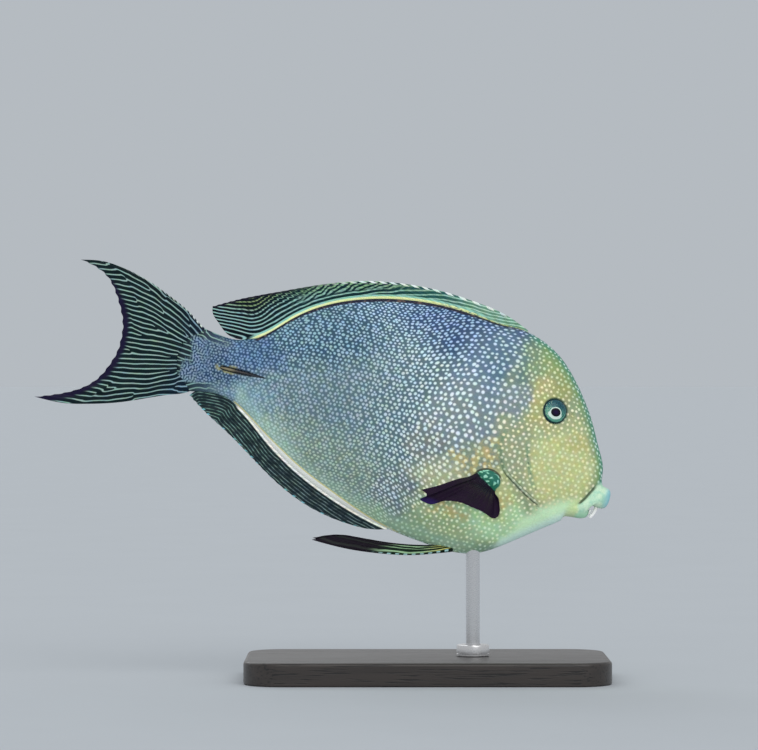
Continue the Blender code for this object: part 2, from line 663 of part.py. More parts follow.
def build_teeth(material):
    columns = 2 * TEETH + 1
    y = np.linspace(-TEETH_HALF_ARC, TEETH_HALF_ARC, columns)
    top = np.full(columns, TEETH_TOP_Z)
    low = np.where(np.arange(columns) % 2 == 1, TOOTH_TIP_Z, TOOTH_NOTCH_Z)
    loop = []
    for side, z in ((1, top), (1, low), (-1, low), (-1, top)):
        x = TEETH_FRONT_X - y ** 2 / TEETH_CURVE + (z - TEETH_TOP_Z) * TOOTH_LEAN
        loop.append(np.stack([x + side * TEETH_HALF_THICKNESS, y, z], axis=1))
    faces = [tuple(k * columns for k in range(4)), tuple((k + 1) * columns - 1 for k in range(4))]
    for j in range(columns - 1):
        for k in range(4):
            a = k * columns + j
            b = (k + 1) % 4 * columns + j
            faces += [(a, b, b + 1), (a, b + 1, a + 1)]
    add_mesh("bristle_teeth", place(np.concatenate(loop)), faces, material, RAY_EDGE)


# Where the fish sits in the model: its belly clears the stand's base, and the model's bounding
# box, from the front of the upper lip to the tip of the tail fin's lower lobe, is centred.
def height_of(point):
    return point[..., 2] * math.cos(PITCH) - point[..., 0] * math.sin(PITCH)


def across_of(point):
    return point[..., 0] * math.cos(PITCH) + point[..., 2] * math.sin(PITCH)


def middle_line(surface, first, last, angle, points=2000):
    """Points along the back (angle 0) or the belly (angle pi)."""
    return surface(np.linspace(first, last, points), np.full(points, angle))


BELLY_LINE = middle_line(skin, STATION_AT["gill_edge"], STATION_AT["vent"], math.pi)
LIP_LINE = middle_line(lip_skin, LIP_AT["back"], LIP_AT["edge"], 0.0)
TAIL_TIP = np.array((LOWER_LOBE_OUTER[-1][0], 0.0, LOWER_LOBE_OUTER[-1][1]))
TAIL_ROOT_HEIGHT = BASE_HEIGHT + BELLY_CLEARANCE - height_of(BELLY_LINE).min()
CENTRE_ACROSS = (across_of(LIP_LINE).max() + across_of(TAIL_TIP)) / 2


def build_stand(torso, base_material, metal):
    rod_root = place(BELLY_LINE[np.argmin(np.abs(BELLY_LINE[:, 0] - ROD_ROOT_X))])
    rod_top = rod_root[2] / MM + ROD_IN_BELLY
    rod_low = BASE_HEIGHT + GAP
    base_x = BASE_CENTRE_X * math.cos(PITCH) * MM - CENTRE_ACROSS * MM
    plate = rounded_plate(BASE_LENGTH, BASE_DEPTH, BASE_HEIGHT, BASE_CORNER, BASE_CHAMFER)
    add_moved("stand_base", plate, Matrix.Translation((base_x, 0, 0)), base_material)
    at_rod = Matrix.Translation((rod_root[0], 0, 0))
    add_moved("stand_rod", cylinder(ROD_RADIUS, rod_low, rod_top), at_rod, metal)
    collar = cylinder(COLLAR_RADIUS, rod_low, BASE_HEIGHT + COLLAR_HEIGHT, hole=ROD_RADIUS + GAP)
    add_moved("stand_collar", collar, at_rod, metal)
    below_belly = rod_top - 3 * ROD_IN_BELLY
    hole = add_moved("rod_hole", cylinder(ROD_RADIUS + GAP, below_belly, rod_top + GAP), at_rod, metal)
    cut_or_join(torso, [hole], "DIFFERENCE")


def main():
    for old in list(bpy.data.objects):
        bpy.data.objects.remove(old)
    face = finish("face_skin", (0.46, 0.52, 0.25), 0.45)
    flank = finish("flank_skin", (0.25, 0.36, 0.42), 0.45)
    lip = finish("lip_skin", (0.55, 0.72, 0.56), 0.4)
    striped = finish("striped_fin", (0.10, 0.17, 0.15), 0.5)
    dark = finish("dark_fin", (0.03, 0.015, 0.05), 0.5)
    eye = finish("eye", (0.03, 0.03, 0.05), 0.1)
    tooth = finish("tooth", (0.85, 0.85, 0.80), 0.35)
    spine = finish("tail_spine", (0.12, 0.09, 0.07), 0.4)
    wood = finish("stand_wood", (0.03, 0.028, 0.026), 0.35)
    steel = finish("stand_steel", (0.62, 0.62, 0.63), 0.25, metallic=1.0)

    head = flesh("head", head_skin, STATION_AT["lip_fold"], STATION_AT["gill_edge"], HEAD_ROWS, face)
    torso = flesh("torso", skin, STATION_AT["gill_edge"], TAIL_CUT, TORSO_ROWS, flank, GAP)
    tail = flesh("tail", skin, TAIL_CUT, STATION_AT["tail_root"], TAIL_ROWS, flank, GAP)
    flesh("lips", lip_skin, LIP_AT["fold"], LIP_AT["inside"], LIP_ROWS, lip)
    build_teeth(tooth)
    build_head_details(head, eye, face)
    build_tail_spines(tail, spine)
    build_middle_fins(striped)
    build_tail_fin(striped)
    build_paired_fins(dark, striped)
    build_stand(torso, wood, steel)


main()
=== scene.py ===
import math

import bmesh
import bpy
import numpy as np
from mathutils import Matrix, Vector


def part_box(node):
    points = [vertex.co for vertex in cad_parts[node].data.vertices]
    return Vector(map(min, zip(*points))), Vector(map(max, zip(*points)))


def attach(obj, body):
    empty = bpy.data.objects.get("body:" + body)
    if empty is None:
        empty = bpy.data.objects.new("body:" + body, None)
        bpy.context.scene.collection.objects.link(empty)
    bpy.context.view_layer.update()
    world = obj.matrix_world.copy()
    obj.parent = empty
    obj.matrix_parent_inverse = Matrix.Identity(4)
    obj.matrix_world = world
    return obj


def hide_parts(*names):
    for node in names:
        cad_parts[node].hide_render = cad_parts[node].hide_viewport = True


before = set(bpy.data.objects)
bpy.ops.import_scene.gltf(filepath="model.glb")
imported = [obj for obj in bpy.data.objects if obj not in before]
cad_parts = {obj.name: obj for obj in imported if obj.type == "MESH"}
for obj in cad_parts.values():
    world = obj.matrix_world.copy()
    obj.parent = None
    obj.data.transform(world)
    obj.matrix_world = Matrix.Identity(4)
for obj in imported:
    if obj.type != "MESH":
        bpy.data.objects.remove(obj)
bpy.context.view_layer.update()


# Camera. It stands level with the middle of the fish and square to its right side, far enough
# away that the side view has next to no perspective.
MM = 0.001
FRAME_WIDTH = 325.94      # of the object, in millimetres, across the picture
CAMERA_DISTANCE = 1600.0
CAMERA_ACROSS = 24.26
CAMERA_HEIGHT = 130.8

camera_data = bpy.data.cameras.new("camera")
camera_data.sensor_width = 36.0
camera_data.lens = 36.0 * CAMERA_DISTANCE / FRAME_WIDTH
camera_data.clip_end = 100.0
camera = bpy.data.objects.new("camera", camera_data)
camera.location = (CAMERA_ACROSS * MM, -CAMERA_DISTANCE * MM, CAMERA_HEIGHT * MM)
camera.rotation_euler = (math.pi / 2, 0.0, 0.0)
bpy.context.scene.collection.objects.link(camera)
bpy.context.scene.camera = camera


# Light. An even, pale room with a broad soft light high in front, a low one that lights the belly
# and a weak one from behind.
SUNS = {
    "key": ((0.45, -1.0, 1.15), 0.80, 50.0, (1.0, 0.99, 0.97)),
    "low": ((-0.06, -1.0, 0.06), 1.25, 6.0, (1.0, 1.0, 1.0)),
    "back": ((-0.5, 1.0, 0.9), 0.45, 40.0, (0.95, 0.98, 1.0)),
}
ROOM_LIGHT = 0.56

for name, (where_from, strength, softness, colour) in SUNS.items():
    data = bpy.data.lights.new(name, "SUN")
    data.energy = strength
    data.angle = math.radians(softness)
    data.color = colour
    light = bpy.data.objects.new(name, data)
    x, y, z = where_from
    light.rotation_euler = (math.atan2(math.hypot(x, y), z), 0.0, math.atan2(x, -y))
    light.visible_glossy = name != "low"
    bpy.context.scene.collection.objects.link(light)

bpy.context.scene.view_settings.view_transform = "Standard"


def paint(colour):
    """A colour's (red, green, blue) as on a screen, from 0 to 255, as the shader's own numbers."""
    return (*[(c / 255) ** 2.2 for c in colour], 1.0)


class Nodes:
    """Short calls that add nodes to one node tree. Values may be numbers or other sockets."""

    def __init__(self, tree, shader=None):
        self.tree, self.shader = tree, shader

    def put(self, kind, *values, **settings):
        """Adds a node. A setting with a capital goes to the input of that name, with _ for a space."""
        node = self.tree.nodes.new(kind)
        for key, value in settings.items():
            if not key[0].isupper():
                setattr(node, key, value)
        for socket, value in zip(node.inputs, values):
            self.set(socket, value)
        for key, value in settings.items():
            if key[0].isupper():
                self.set(node.inputs[key.replace("_", " ")], value)
        return node

    def set(self, socket, value):
        if isinstance(value, bpy.types.NodeSocket):
            self.tree.links.new(value, socket)
        elif value is not None:
            socket.default_value = value

    def calc(self, operation, *values):
        return self.put("ShaderNodeMath", *values, operation=operation).outputs[0]

    def times(self, product, *factors):
        for factor in factors:
            product = self.calc("MULTIPLY", product, factor)
        return product

    def without(self, share):
        return self.calc("SUBTRACT", 1.0, share)

    def apart(self, one, other):
        return self.calc("ABSOLUTE", self.calc("SUBTRACT", one, other))

    def saw(self, value):
        """From 0.5 at each whole number down to 0 half-way to the next."""
        return self.apart(self.calc("FRACT", value), 0.5)

    def vector(self, operation, *values):
        node = self.put("ShaderNodeVectorMath", *values, operation=operation)
        return node.outputs[1 if operation in ("LENGTH", "DOT_PRODUCT") else 0]

    def join(self, x, y, z=0.0):
        return self.put("ShaderNodeCombineXYZ", x, y, z).outputs[0]

    def parts(self, value):
        return self.put("ShaderNodeSeparateXYZ", value).outputs

    def step(self, value, low, high):
        """From 0 at low to 1 at high, smoothly. It falls where low is the larger one."""
        return self.put("ShaderNodeMapRange", value, low, high, 0.0, 1.0,
                        interpolation_type="SMOOTHSTEP").outputs[0]

    def inside(self, value, limit, edge):
        """From 1 below the limit to 0 above it, over an edge that reaches so far to each side."""
        return self.step(value, self.calc("ADD", limit, edge), self.calc("SUBTRACT", limit, edge))

    def between(self, value, *ends):
        """The product of two steps, given as four ends."""
        return self.times(self.step(value, *ends[:2]), self.step(value, *ends[2:]))

    def spread(self, value, low, high):
        """A value from 0 to 1 taken to low to high, in proportion."""
        return self.put("ShaderNodeMapRange", value, 0.0, 1.0, low, high).outputs[0]

    def blend(self, share, one, other):
        """Two values in one."""
        return self.put("ShaderNodeMix", share, None, one, other).outputs[0]

    def mix(self, share, *colours):
        """Two colours in one. Each is a socket, three numbers as on a screen, or the shader's four."""
        node = self.put("ShaderNodeMix", share, data_type="RGBA")
        for socket, colour in zip(node.inputs[6:8], colours):
            self.set(socket, paint(colour) if isinstance(colour, tuple) and len(colour) == 3 else colour)
        return node.outputs[2]

    def over(self, colour, coat, *shares):
        """A colour with a coat of another over it, as thick as the product of the shares."""
        return self.mix(self.times(*shares), colour, coat)

    def attribute(self, name):
        return self.put("ShaderNodeAttribute", attribute_name=name).outputs["Vector"]

    def noise(self, place, scale, detail):
        return self.put("ShaderNodeTexNoise", Vector=place, Scale=scale, Detail=detail).outputs[0]

    def stray(self, place, amount, base=None, **settings):
        """The place, or else the base, moved about by a noise, as far as half the amount."""
        cloud = self.put("ShaderNodeTexNoise", Vector=place, **settings).outputs["Color"]
        centred = self.vector("SUBTRACT", cloud, (0.5, 0.5, 0.5))
        return self.vector("MULTIPLY_ADD", centred, amount, base or place)

    def use(self, group, **values):
        return self.put("ShaderNodeGroup", node_tree=group, **values).outputs

    def finish(self, **values):
        """Gives the shader at the end of the tree its values."""
        for key, value in values.items():
            self.set(self.shader.inputs[key.replace("_", " ")], value)

    def bump(self, height, distance):
        """Relief from a height between 0 and 1, that many millimetres deep."""
        relief = self.put("ShaderNodeBump", Strength=1.0, Distance=distance * MM, Height=height)
        self.finish(Normal=relief.outputs[0])


def material(name, **values):
    made = bpy.data.materials.new(name)
    made.use_nodes = True
    nodes = Nodes(made.node_tree, made.node_tree.nodes["Principled BSDF"])
    nodes.finish(**values)
    return made, nodes


def new_group(name, inputs, outputs):
    """A node group with named inputs and outputs, each {name: kind}."""
    tree = bpy.data.node_groups.new(name, "ShaderNodeTree")
    for direction, sockets in (("INPUT", inputs), ("OUTPUT", outputs)):
        for key, kind in sockets.items():
            tree.interface.new_socket(key, in_out=direction, socket_type="NodeSocket" + kind)
    nodes = Nodes(tree)
    return nodes, nodes.put("NodeGroupInput").outputs, nodes.put("NodeGroupOutput").inputs


world = bpy.data.worlds.new("room")
world.use_nodes = True
bpy.context.scene.world = world
sky = Nodes(world.node_tree, world.node_tree.nodes["Background"])
FLOOR_COLOUR = (0.53, 0.57, 0.61)
FLOOR_LIGHT = 0.872       # light that the floor sends back from all lamps, for white paint
seen = sky.put("ShaderNodeLightPath").outputs["Is Camera Ray"]
far_floor = (*[c * FLOOR_LIGHT for c in FLOOR_COLOUR], 1.0)
room = (0.98 * ROOM_LIGHT, ROOM_LIGHT, 1.02 * ROOM_LIGHT, 1.0)
sky.finish(Color=sky.mix(seen, room, far_floor), Strength=1.0)


# Floor. A plain board, painted matt and pale, that runs on to where the room's light takes over.
# It lies loose under the stand and is no part of the model.
FLOOR_RADIUS = 40.0

floor_finish, nodes = material("floor_paint", Roughness=0.9, Specular_IOR_Level=0.1)
where = nodes.put("ShaderNodeTexCoord").outputs["Object"]
mottle = nodes.noise(where, 14.0, 4.0)
darker, paler = [(*[c * k for c in FLOOR_COLOUR], 1.0) for k in (0.98, 1.02)]
nodes.finish(Base_Color=nodes.mix(mottle, darker, paler))
turns = np.linspace(0.0, 2 * math.pi, 129)[:-1]
rim = [(FLOOR_RADIUS * math.cos(t), FLOOR_RADIUS * math.sin(t), 0.0) for t in turns]
floor_mesh = bpy.data.meshes.new("floor")
floor_mesh.from_pydata(rim, [], [list(range(len(rim)))])
floor_mesh.materials.append(floor_finish)
floor = bpy.data.objects.new("floor", floor_mesh)
bpy.context.scene.collection.objects.link(floor)


# Skin. One unbroken coat over head, lips, body and the root of the tail, from the mouth to where
# the tail fin's rays come out. It lies on tiny rough scales and is painted with the markings.
PITCH = math.radians(13.5)
TAIL_ROOT_ACROSS = -55.293
TAIL_ROOT_HEIGHT = 137.254


def place(points):
    """From the fish's own frame, in millimetres, to the model's, in metres."""
    x, y, z = np.moveaxis(np.asarray(points, float), -1, 0)
    across = x * math.cos(PITCH) + z * math.sin(PITCH)
    height = z * math.cos(PITCH) - x * math.sin(PITCH)
    return np.stack([across + TAIL_ROOT_ACROSS, y, height + TAIL_ROOT_HEIGHT], axis=-1) * MM


def ridge(away, at, width):
    """1 where a thing is that far away, and soon 0 to either side."""
    return np.exp(-((away - at) / width) ** 2)


def smooth_step(value, start, end):
    share = np.clip((np.asarray(value, float) - start) / (end - start), 0.0, 1.0)
    return share * share * (3 - 2 * share)


def smooth_curve(knots, values):
    """A natural cubic spline through the values at the knots, as a function of the knot parameter."""
    knots = np.asarray(knots, float)
    values = np.asarray(values, float).reshape(len(knots), -1)
    width = np.diff(knots)
    matrix = np.eye(len(knots))
    right = np.zeros_like(values)
    for i in range(1, len(knots) - 1):
        matrix[i, i - 1:i + 2] = width[i - 1], 2 * (width[i - 1] + width[i]), width[i]
        right[i] = 6 * ((values[i + 1] - values[i]) / width[i] - (values[i] - values[i - 1]) / width[i - 1])
    bend = np.linalg.solve(matrix, right)

    def at(parameter):
        t = np.clip(np.asarray(parameter, float), knots[0], knots[-1])
        i = np.clip(np.searchsorted(knots, t, side="right") - 1, 0, len(width) - 1)
        h = width[i][..., None]
        before = (t - knots[i])[..., None]
        after = h - before
        curved = (bend[i] * after ** 3 + bend[i + 1] * before ** 3) / (6 * h)
        straight_before = (values[i] / h - bend[i] * h / 6) * after
        straight_after = (values[i + 1] / h - bend[i + 1] * h / 6) * before
        return curved + straight_before + straight_after

    return at


# Rings round the body, from inside the mouth to the root of the tail fin: the points on the back,
# at the widest part of the flank and under the belly, as (x, z), the half width and the sharpness.
SKIN = {
    "gullet":      ((181.4, -20.7), (178.0, -21.0), (178.4, -23.0), 3.2, 0.50),
    "lip_rim":     ((185.0, -21.3), (179.4, -21.0), (180.0, -23.2), 4.4, 0.50),
    "lip_edge":    ((187.2, -19.6), (180.7, -20.9), (180.2, -25.2), 5.3, 0.50),
    "lip_crown":   ((187.75, -15.4), (180.4, -20.9), (178.9, -26.9), 6.1, 0.50),
    "lip_back":    ((186.2, -12.3), (177.9, -20.9), (175.0, -27.7), 6.5, 0.50),
    "lip_fold":    ((183.6, -11.5), (175.4, -20.9), (171.4, -28.0), 6.2, 0.50),
    "snout":       ((181.9, -4.4), (171.6, -15.4), (169.6, -29.8), 8.0, 0.50),
    "cheek_front": ((178.2, 3.6), (167.0, -10.2), (168.5, -31.0), 10.0, 0.50),
    "brow":        ((172.2, 15.0), (161.8, -4.2), (167.6, -31.7), 12.0, 0.50),
    "eye":         ((163.6, 27.2), (155.8, -0.5), (166.7, -32.4), 13.7, 0.51),
    "cheek_rear":  ((152.7, 38.2), (148.6, 1.2), (165.6, -33.2), 15.0, 0.52),
    "gill_edge":   ((138.5, 44.8), (137.6, 1.8), (163.8, -34.5), 16.2, 0.53),
    "shoulder":    ((126.0, 45.8), (123.5, 2.0), (151.0, -44.0), 17.0, 0.55),
    "chest":       ((112.5, 47.4), (108.0, 2.0), (135.0, -53.2), 17.0, 0.56),
    "belly":       ((97.7, 48.2), (92.0, 1.6), (114.5, -53.4), 16.2, 0.57),
    "mid_flank":   ((82.0, 46.9), (76.0, 1.0), (93.0, -50.2), 14.4, 0.58),
    "vent":        ((66.0, 43.3), (60.5, 0.6), (72.5, -44.2), 12.0, 0.58),
    "rear_flank":  ((50.0, 36.8), (46.0, 0.3), (53.0, -35.6), 9.4, 0.57),
    "taper":       ((37.0, 27.6), (34.0, 0.0), (38.0, -26.0), 7.2, 0.56),
    "tail_start":  ((25.5, 16.9), (23.5, 0.0), (25.3, -16.4), 5.5, 0.54),
    "narrowest":   ((16.5, 12.9), (15.5, 0.0), (16.5, -12.3), 4.6, 0.52),
    "flare":       ((7.5, 13.2), (7.5, 0.0), (7.5, -12.4), 3.9, 0.50),
    "tail_root":   ((0.6, 14.3), (0.0, 0.0), (0.6, -13.6), 3.0, 0.50),
    "root_flesh":  ((-0.6, 14.4), (-3.6, 0.0), (-0.6, -13.7), 2.0, 0.50),
    "root_edge":   ((-1.4, 14.2), (-7.2, 0.0), (-1.4, -13.5), 0.45, 0.50),
}


def skin_through(stations):
    """The surface through the rings, as a function of the distance along the body and of the angle
    round it, from 0 on the back to pi under the belly, and each ring's own distance."""
    rows = np.array([[*top, *side, *low, half, sharp] for top, side, low, half, sharp in stations.values()])
    step = np.diff(rows[:, :6], axis=0).reshape(-1, 3, 2)
    knots = np.concatenate([[0.0], np.cumsum(np.linalg.norm(step, axis=2).mean(axis=1))])
    station = smooth_curve(knots, rows)

    def point(distance, angle):
        row = station(distance)
        up = np.cos(angle)[..., None]
        top, side, low = row[..., 0:2], row[..., 2:4], row[..., 4:6]
        xz = side + (top - low) / 2 * up + ((top + low) / 2 - side) * up ** 2
        reach = row[..., 6] * np.abs(np.sin(angle)) ** (2 * row[..., 7])
        return np.stack([xz[..., 0], reach, xz[..., 1]], axis=-1)

    return point, dict(zip(stations, knots))


skin, RING_AT = skin_through(SKIN)


def skin_at(x, z):
    """Over (x, z) on the left flank: the point, the way the skin faces there, and the point's
    distance along the body and angle round it."""
    low = np.array([RING_AT["lip_fold"], 0.02])
    high = np.array([RING_AT["tail_root"], math.pi - 0.02])
    for _ in range(6):
        distance, angle = np.meshgrid(*[np.linspace(a, b, 41) for a, b in zip(low, high)], indexing="ij")
        found = skin(distance, angle)
        miss = (found[..., 0] - x) ** 2 + (found[..., 2] - z) ** 2
        best = np.unravel_index(np.argmin(miss), miss.shape)
        centre = np.array([distance[best], angle[best]])
        reach = (high - low) / 20
        low, high = centre - reach, centre + reach
    here = skin(centre[0], np.array(centre[1]))
    along = skin(centre[0] + 0.2, np.array(centre[1])) - here
    round_it = skin(centre[0], np.array(centre[1] + 0.01)) - here
    normal = np.cross(along, round_it)
    normal = normal / np.linalg.norm(normal)
    return here, normal if normal[1] > 0 else -normal, centre


def uneven(first, last, spacing, finer):
    """Places from first to last that lie the spacing apart, or closer near each (place, width,
    times as close)."""
    fine = np.linspace(first, last, 4000)
    density = np.full_like(fine, 1.0 / spacing)
    for centre, width, times in finer:
        density = np.maximum(density, times / spacing * np.exp(-(((fine - centre) / width) ** 4)))
    run = np.concatenate([[0.0], np.cumsum((density[1:] + density[:-1]) / 2 * np.diff(fine))])
    return np.interp(np.linspace(0.0, run[-1], int(run[-1]) + 1), run, fine)


def distance_to(xz, line):
    """How far points lie from a line of points, in the plane."""
    start, end = np.asarray(line[:-1], float), np.asarray(line[1:], float)
    run = end - start
    offset = xz[..., None, :] - start
    share = np.clip((offset * run).sum(-1) / (run ** 2).sum(-1), 0, 1)
    return np.linalg.norm(offset - share[..., None] * run, axis=-1).min(-1)


EYE_XZ = (155.6, 14.9)
NOSTRILS = (((163.6, 15.2), 0.75), ((162.2, 12.0), 0.6))
SPINE_XZ = (19.4, -0.4)
PECTORAL_ROOT = (134.2, -20.6)
PREOPERCLE = [(147.6, 10.0), (146.9, 1.0), (148.3, -6.0), (150.4, -11.5), (153.4, -17.8), (157.5, -22.0)]
GILL_SLIT = [(139.5, 9.0), (136.6, 0.5), (136.9, -7.0), (139.8, -14.0), (144.0, -17.6), (148.6, -20.6),
             (153.2, -23.3), (157.9, -25.6)]
DOT_BORDER = [(139.0, 60.0), (138.0, 20.0), (137.0, 0.0), (133.0, -16.0), (117.0, -31.0), (100.0, -45.0),
              (84.0, -56.0)]
GILL_LIFT = 0.7           # of the cover's free edge over the shoulder behind it
FLANK_SPACING = smooth_curve([-10.0, 5.0, 20.0, 45.0, 70.0, 90.0, 104.0, 118.0, 132.0, 150.0],
                             [1.3, 1.35, 1.5, 1.82, 1.93, 2.0, 2.4, 2.85, 3.0, 3.05])
HEAD_SPACING = 2.42       # of the dots, in millimetres, on head and belly alike
GRAIN = 0.86              # of the skin's faces, in millimetres

eye_point, eye_normal, eye_at = skin_at(*EYE_XZ)
_, _, spine_at = skin_at(*SPINE_XZ)
_, _, slit_at = skin_at(*GILL_SLIT[4])
rows = uneven(0.0, RING_AT["root_edge"], GRAIN,
              [(RING_AT["lip_back"], 12.0, 2.2), (eye_at[0], 9.0, 2.2), (slit_at[0], 12.0, 2.0),
               (spine_at[0], 9.0, 1.4)])
columns = uneven(0.0, math.pi, math.pi / 112,
                 [(eye_at[1], 0.16, 2.2), (slit_at[1], 0.25, 1.8), (spine_at[1], 0.12, 2.5)])
distance, angle = np.meshgrid(rows, columns, indexing="ij")
base = skin(distance, angle)


def facing(points):
    """The outward normals of a grid of points on the left side."""
    normal = np.cross(np.gradient(points, axis=0), np.gradient(points, axis=1))
    normal[:, (0, -1), 1] = 0.0
    normal /= np.maximum(np.linalg.norm(normal, axis=-1, keepdims=True), 1e-9)
    return normal * np.where(normal[:, [len(columns) // 2], 1:2] < 0, -1, 1)


normal = facing(base)
flat = base[..., [0, 2]]
flat_x, flat_z = flat[..., 0], flat[..., 1]
from_gill = (distance - RING_AT["gill_edge"]) * np.linalg.norm(np.gradient(base, rows, axis=0), axis=-1)
from_fold = distance - RING_AT["lip_fold"] - 1.3 * (1 - smooth_step(angle, 0.55, 1.5))
slit_line = smooth_curve(np.arange(len(GILL_SLIT)), GILL_SLIT)(np.linspace(0, len(GILL_SLIT) - 1, 60))
behind_slit = flat_x < np.interp(-flat_z, -slit_line[:, 1], slit_line[:, 0])
from_slit = distance_to(flat, slit_line) * np.where(behind_slit, 1, -1)
on_slit = smooth_step(flat_z, 7.0, -6.0) * smooth_step(flat_x, 160.5, 155.5)
offset = base - eye_point
eye_forward = np.array([1.0, 0, 0]) - eye_normal * eye_normal[0]
eye_forward /= np.linalg.norm(eye_forward)
eye_up = np.cross(eye_forward, eye_normal)
from_eye = np.hypot(offset @ eye_forward, offset @ eye_up)
from_preopercle = distance_to(flat, PREOPERCLE)
slot_half = 0.95 * (1 - 0.75 * smooth_step(flat_x, 23.0, 32.5))
from_spine = np.hypot(np.maximum(np.abs(flat_x - 22.0) - 8.0, 0) / 2.2, (flat_z - SPINE_XZ[1]) / slot_half)
on_groove = smooth_step(flat_x, 10.5, 12.5) * smooth_step(flat_x, 33.0, 29.0)
from_pectoral = np.hypot((flat_x - PECTORAL_ROOT[0]) / 6.2, (flat_z - PECTORAL_ROOT[1]) / 5.0)

# Relief, in millimetres: the gill cover's free edge and slit, the fold behind the lips, the eye
# socket and its rim, the nostrils, the tail spine's groove and the pectoral fin's swollen root.
lifted = smooth_step(from_slit, -8.0, -0.4) * smooth_step(from_slit, 0.45, -0.25)
relief = (GILL_LIFT * lifted - 0.35 * ridge(from_slit, 0.7, 0.6)) * on_slit
relief -= 0.9 * ridge(from_fold, 0.0, 0.7) * smooth_step(angle, 0.25, 0.7) * smooth_step(angle, 1.95, 1.5)
relief -= 0.22 * ridge(from_preopercle, 0.0, 0.6)
relief += 0.4 * ridge(from_eye, 5.95, 0.6) - 3.2 * smooth_step(from_eye, 5.5, 4.3)
for (x, z), radius in NOSTRILS:
    away = np.hypot(flat_x - x, flat_z - z) / radius
    relief += 0.18 * ridge(away, 1.5, 0.35) - 1.0 * smooth_step(away, 1.25, 0.5)
relief += (0.12 * ridge(from_spine, 1.7, 0.4) - 0.8 * smooth_step(from_spine, 1.3, 0.6)) * on_groove
relief += 1.3 * smooth_step(from_pectoral, 1.15, 0.2) ** 1.5
left = base + normal * relief[..., None]

# The skin rolled out flat, away from the middle of the flank, so that the markings aren't drawn out
# where the back and the belly turn away.
middle = len(columns) // 2
run = np.diff(flat, axis=1)
length = np.linalg.norm(np.diff(base, axis=1), axis=-1)
run *= (length / np.maximum(np.linalg.norm(run, axis=-1), 1e-9))[..., None]
rolled = np.concatenate([np.zeros_like(flat[:, :1]), np.cumsum(run, axis=1)], axis=1)
rolled += (flat - rolled)[:, middle:middle + 1]
rolled_x, rolled_z = rolled[..., 0], rolled[..., 1]


def vectors(*numbers):
    return np.stack([np.broadcast_to(n, distance.shape) for n in numbers], axis=-1)


even_x = np.linspace(-10.0, 200.0, 2101)
steps_along = np.cumsum(0.1 / FLANK_SPACING(even_x)[:, 0])
spacing = FLANK_SPACING(rolled_x)[..., 0]
flank_v = rolled_z * (1 + 0.12 * (rolled_z / 40) ** 2) / spacing
border_line = np.array(DOT_BORDER)
in_front = flat_x > np.interp(-flat_z, -border_line[:, 1], border_line[:, 0])
from_border = distance_to(flat, DOT_BORDER) * np.where(in_front, -1, 1)
lean = smooth_step(flat_z, -8.0, -20.0) * math.radians(48)

skin_facts = {
    "fish_place": base,
    "flank_lattice": vectors(np.interp(rolled_x, even_x, steps_along), flank_v, spacing),
    "head_lattice": vectors(rolled_x / HEAD_SPACING, rolled_z / HEAD_SPACING, 0.0),
    "from_border": vectors(from_border, np.cos(lean), np.sin(lean)),
    "from_edges": vectors(np.linalg.norm(flat - flat[:, :1], axis=-1),
                          np.linalg.norm(flat - flat[:, -1:], axis=-1), from_spine),
    "from_lines": vectors(from_gill, from_preopercle, from_fold),
    "from_slit": vectors(from_slit, on_slit, 0.0),
    "from_parts": vectors(from_eye, from_pectoral, angle),
}


def both_sides(grid, mirror=1):
    """A grid of the left side, carried on round the right side."""
    return np.concatenate([grid, grid[:, -2:0:-1] * (1, mirror, 1)], axis=1)


def finished(name, mesh, finish, weld=0.0):
    """A mesh in the scene with its faces turned outward and smoothed, its points welded if need be."""
    outward = bmesh.new()
    outward.from_mesh(mesh)
    if weld:
        bmesh.ops.remove_doubles(outward, verts=outward.verts, dist=weld)
    bmesh.ops.recalc_face_normals(outward, faces=outward.faces)
    outward.to_mesh(mesh)
    outward.free()
    mesh.materials.append(finish)
    mesh.shade_smooth()
    piece = bpy.data.objects.new(name, mesh)
    bpy.context.scene.collection.objects.link(piece)
    return piece


def add_piece(name, points, faces, finish, facts=None, corners_uv=None):
    """A smooth-shaded piece from points in the fish's frame, with what its material reads."""
    mesh = bpy.data.meshes.new(name)
    mesh.from_pydata(place(points).tolist(), [], faces)
    for key, values in (facts or {}).items():
        layer = mesh.attributes.new(key, "FLOAT_VECTOR", "POINT")
        layer.data.foreach_set("vector", np.ascontiguousarray(values, np.float32).ravel())
    if corners_uv is not None:
        mesh.uv_layers.new(name="OFBake").data.foreach_set("uv", np.asarray(corners_uv, np.float32).ravel())
    piece = finished(name, mesh, finish)
    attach(piece, "root")
    return piece


def tube(rows, columns):
    """Faces of a tube of rings, flat-ended by rungs from side to side, and a UV map of it that
    opens it along its first line."""
    i, j = [a.ravel() for a in np.meshgrid(np.arange(rows - 1), np.arange(columns), indexing="ij")]
    corners = np.stack([np.stack([i + a, j + b], axis=-1) for a, b in ((0, 0), (0, 1), (1, 1), (1, 0))],
                       axis=1)
    faces = (corners[..., 0] * columns + corners[..., 1] % columns).tolist()
    uv = [(0.01 + 0.98 * corners / (rows - 1, columns)).reshape(-1, 2)]
    for row, edge in ((0, 0.003), (rows - 1, 0.997)):
        for j in range(columns // 2):
            rung = list(dict.fromkeys([j, j + 1, columns - j - 1, (columns - j) % columns]))
            faces.append([row * columns + k for k in rung])
            uv.append([(edge, 0.01 + 0.98 * k / columns) for k in rung])
    return faces, np.concatenate(uv)


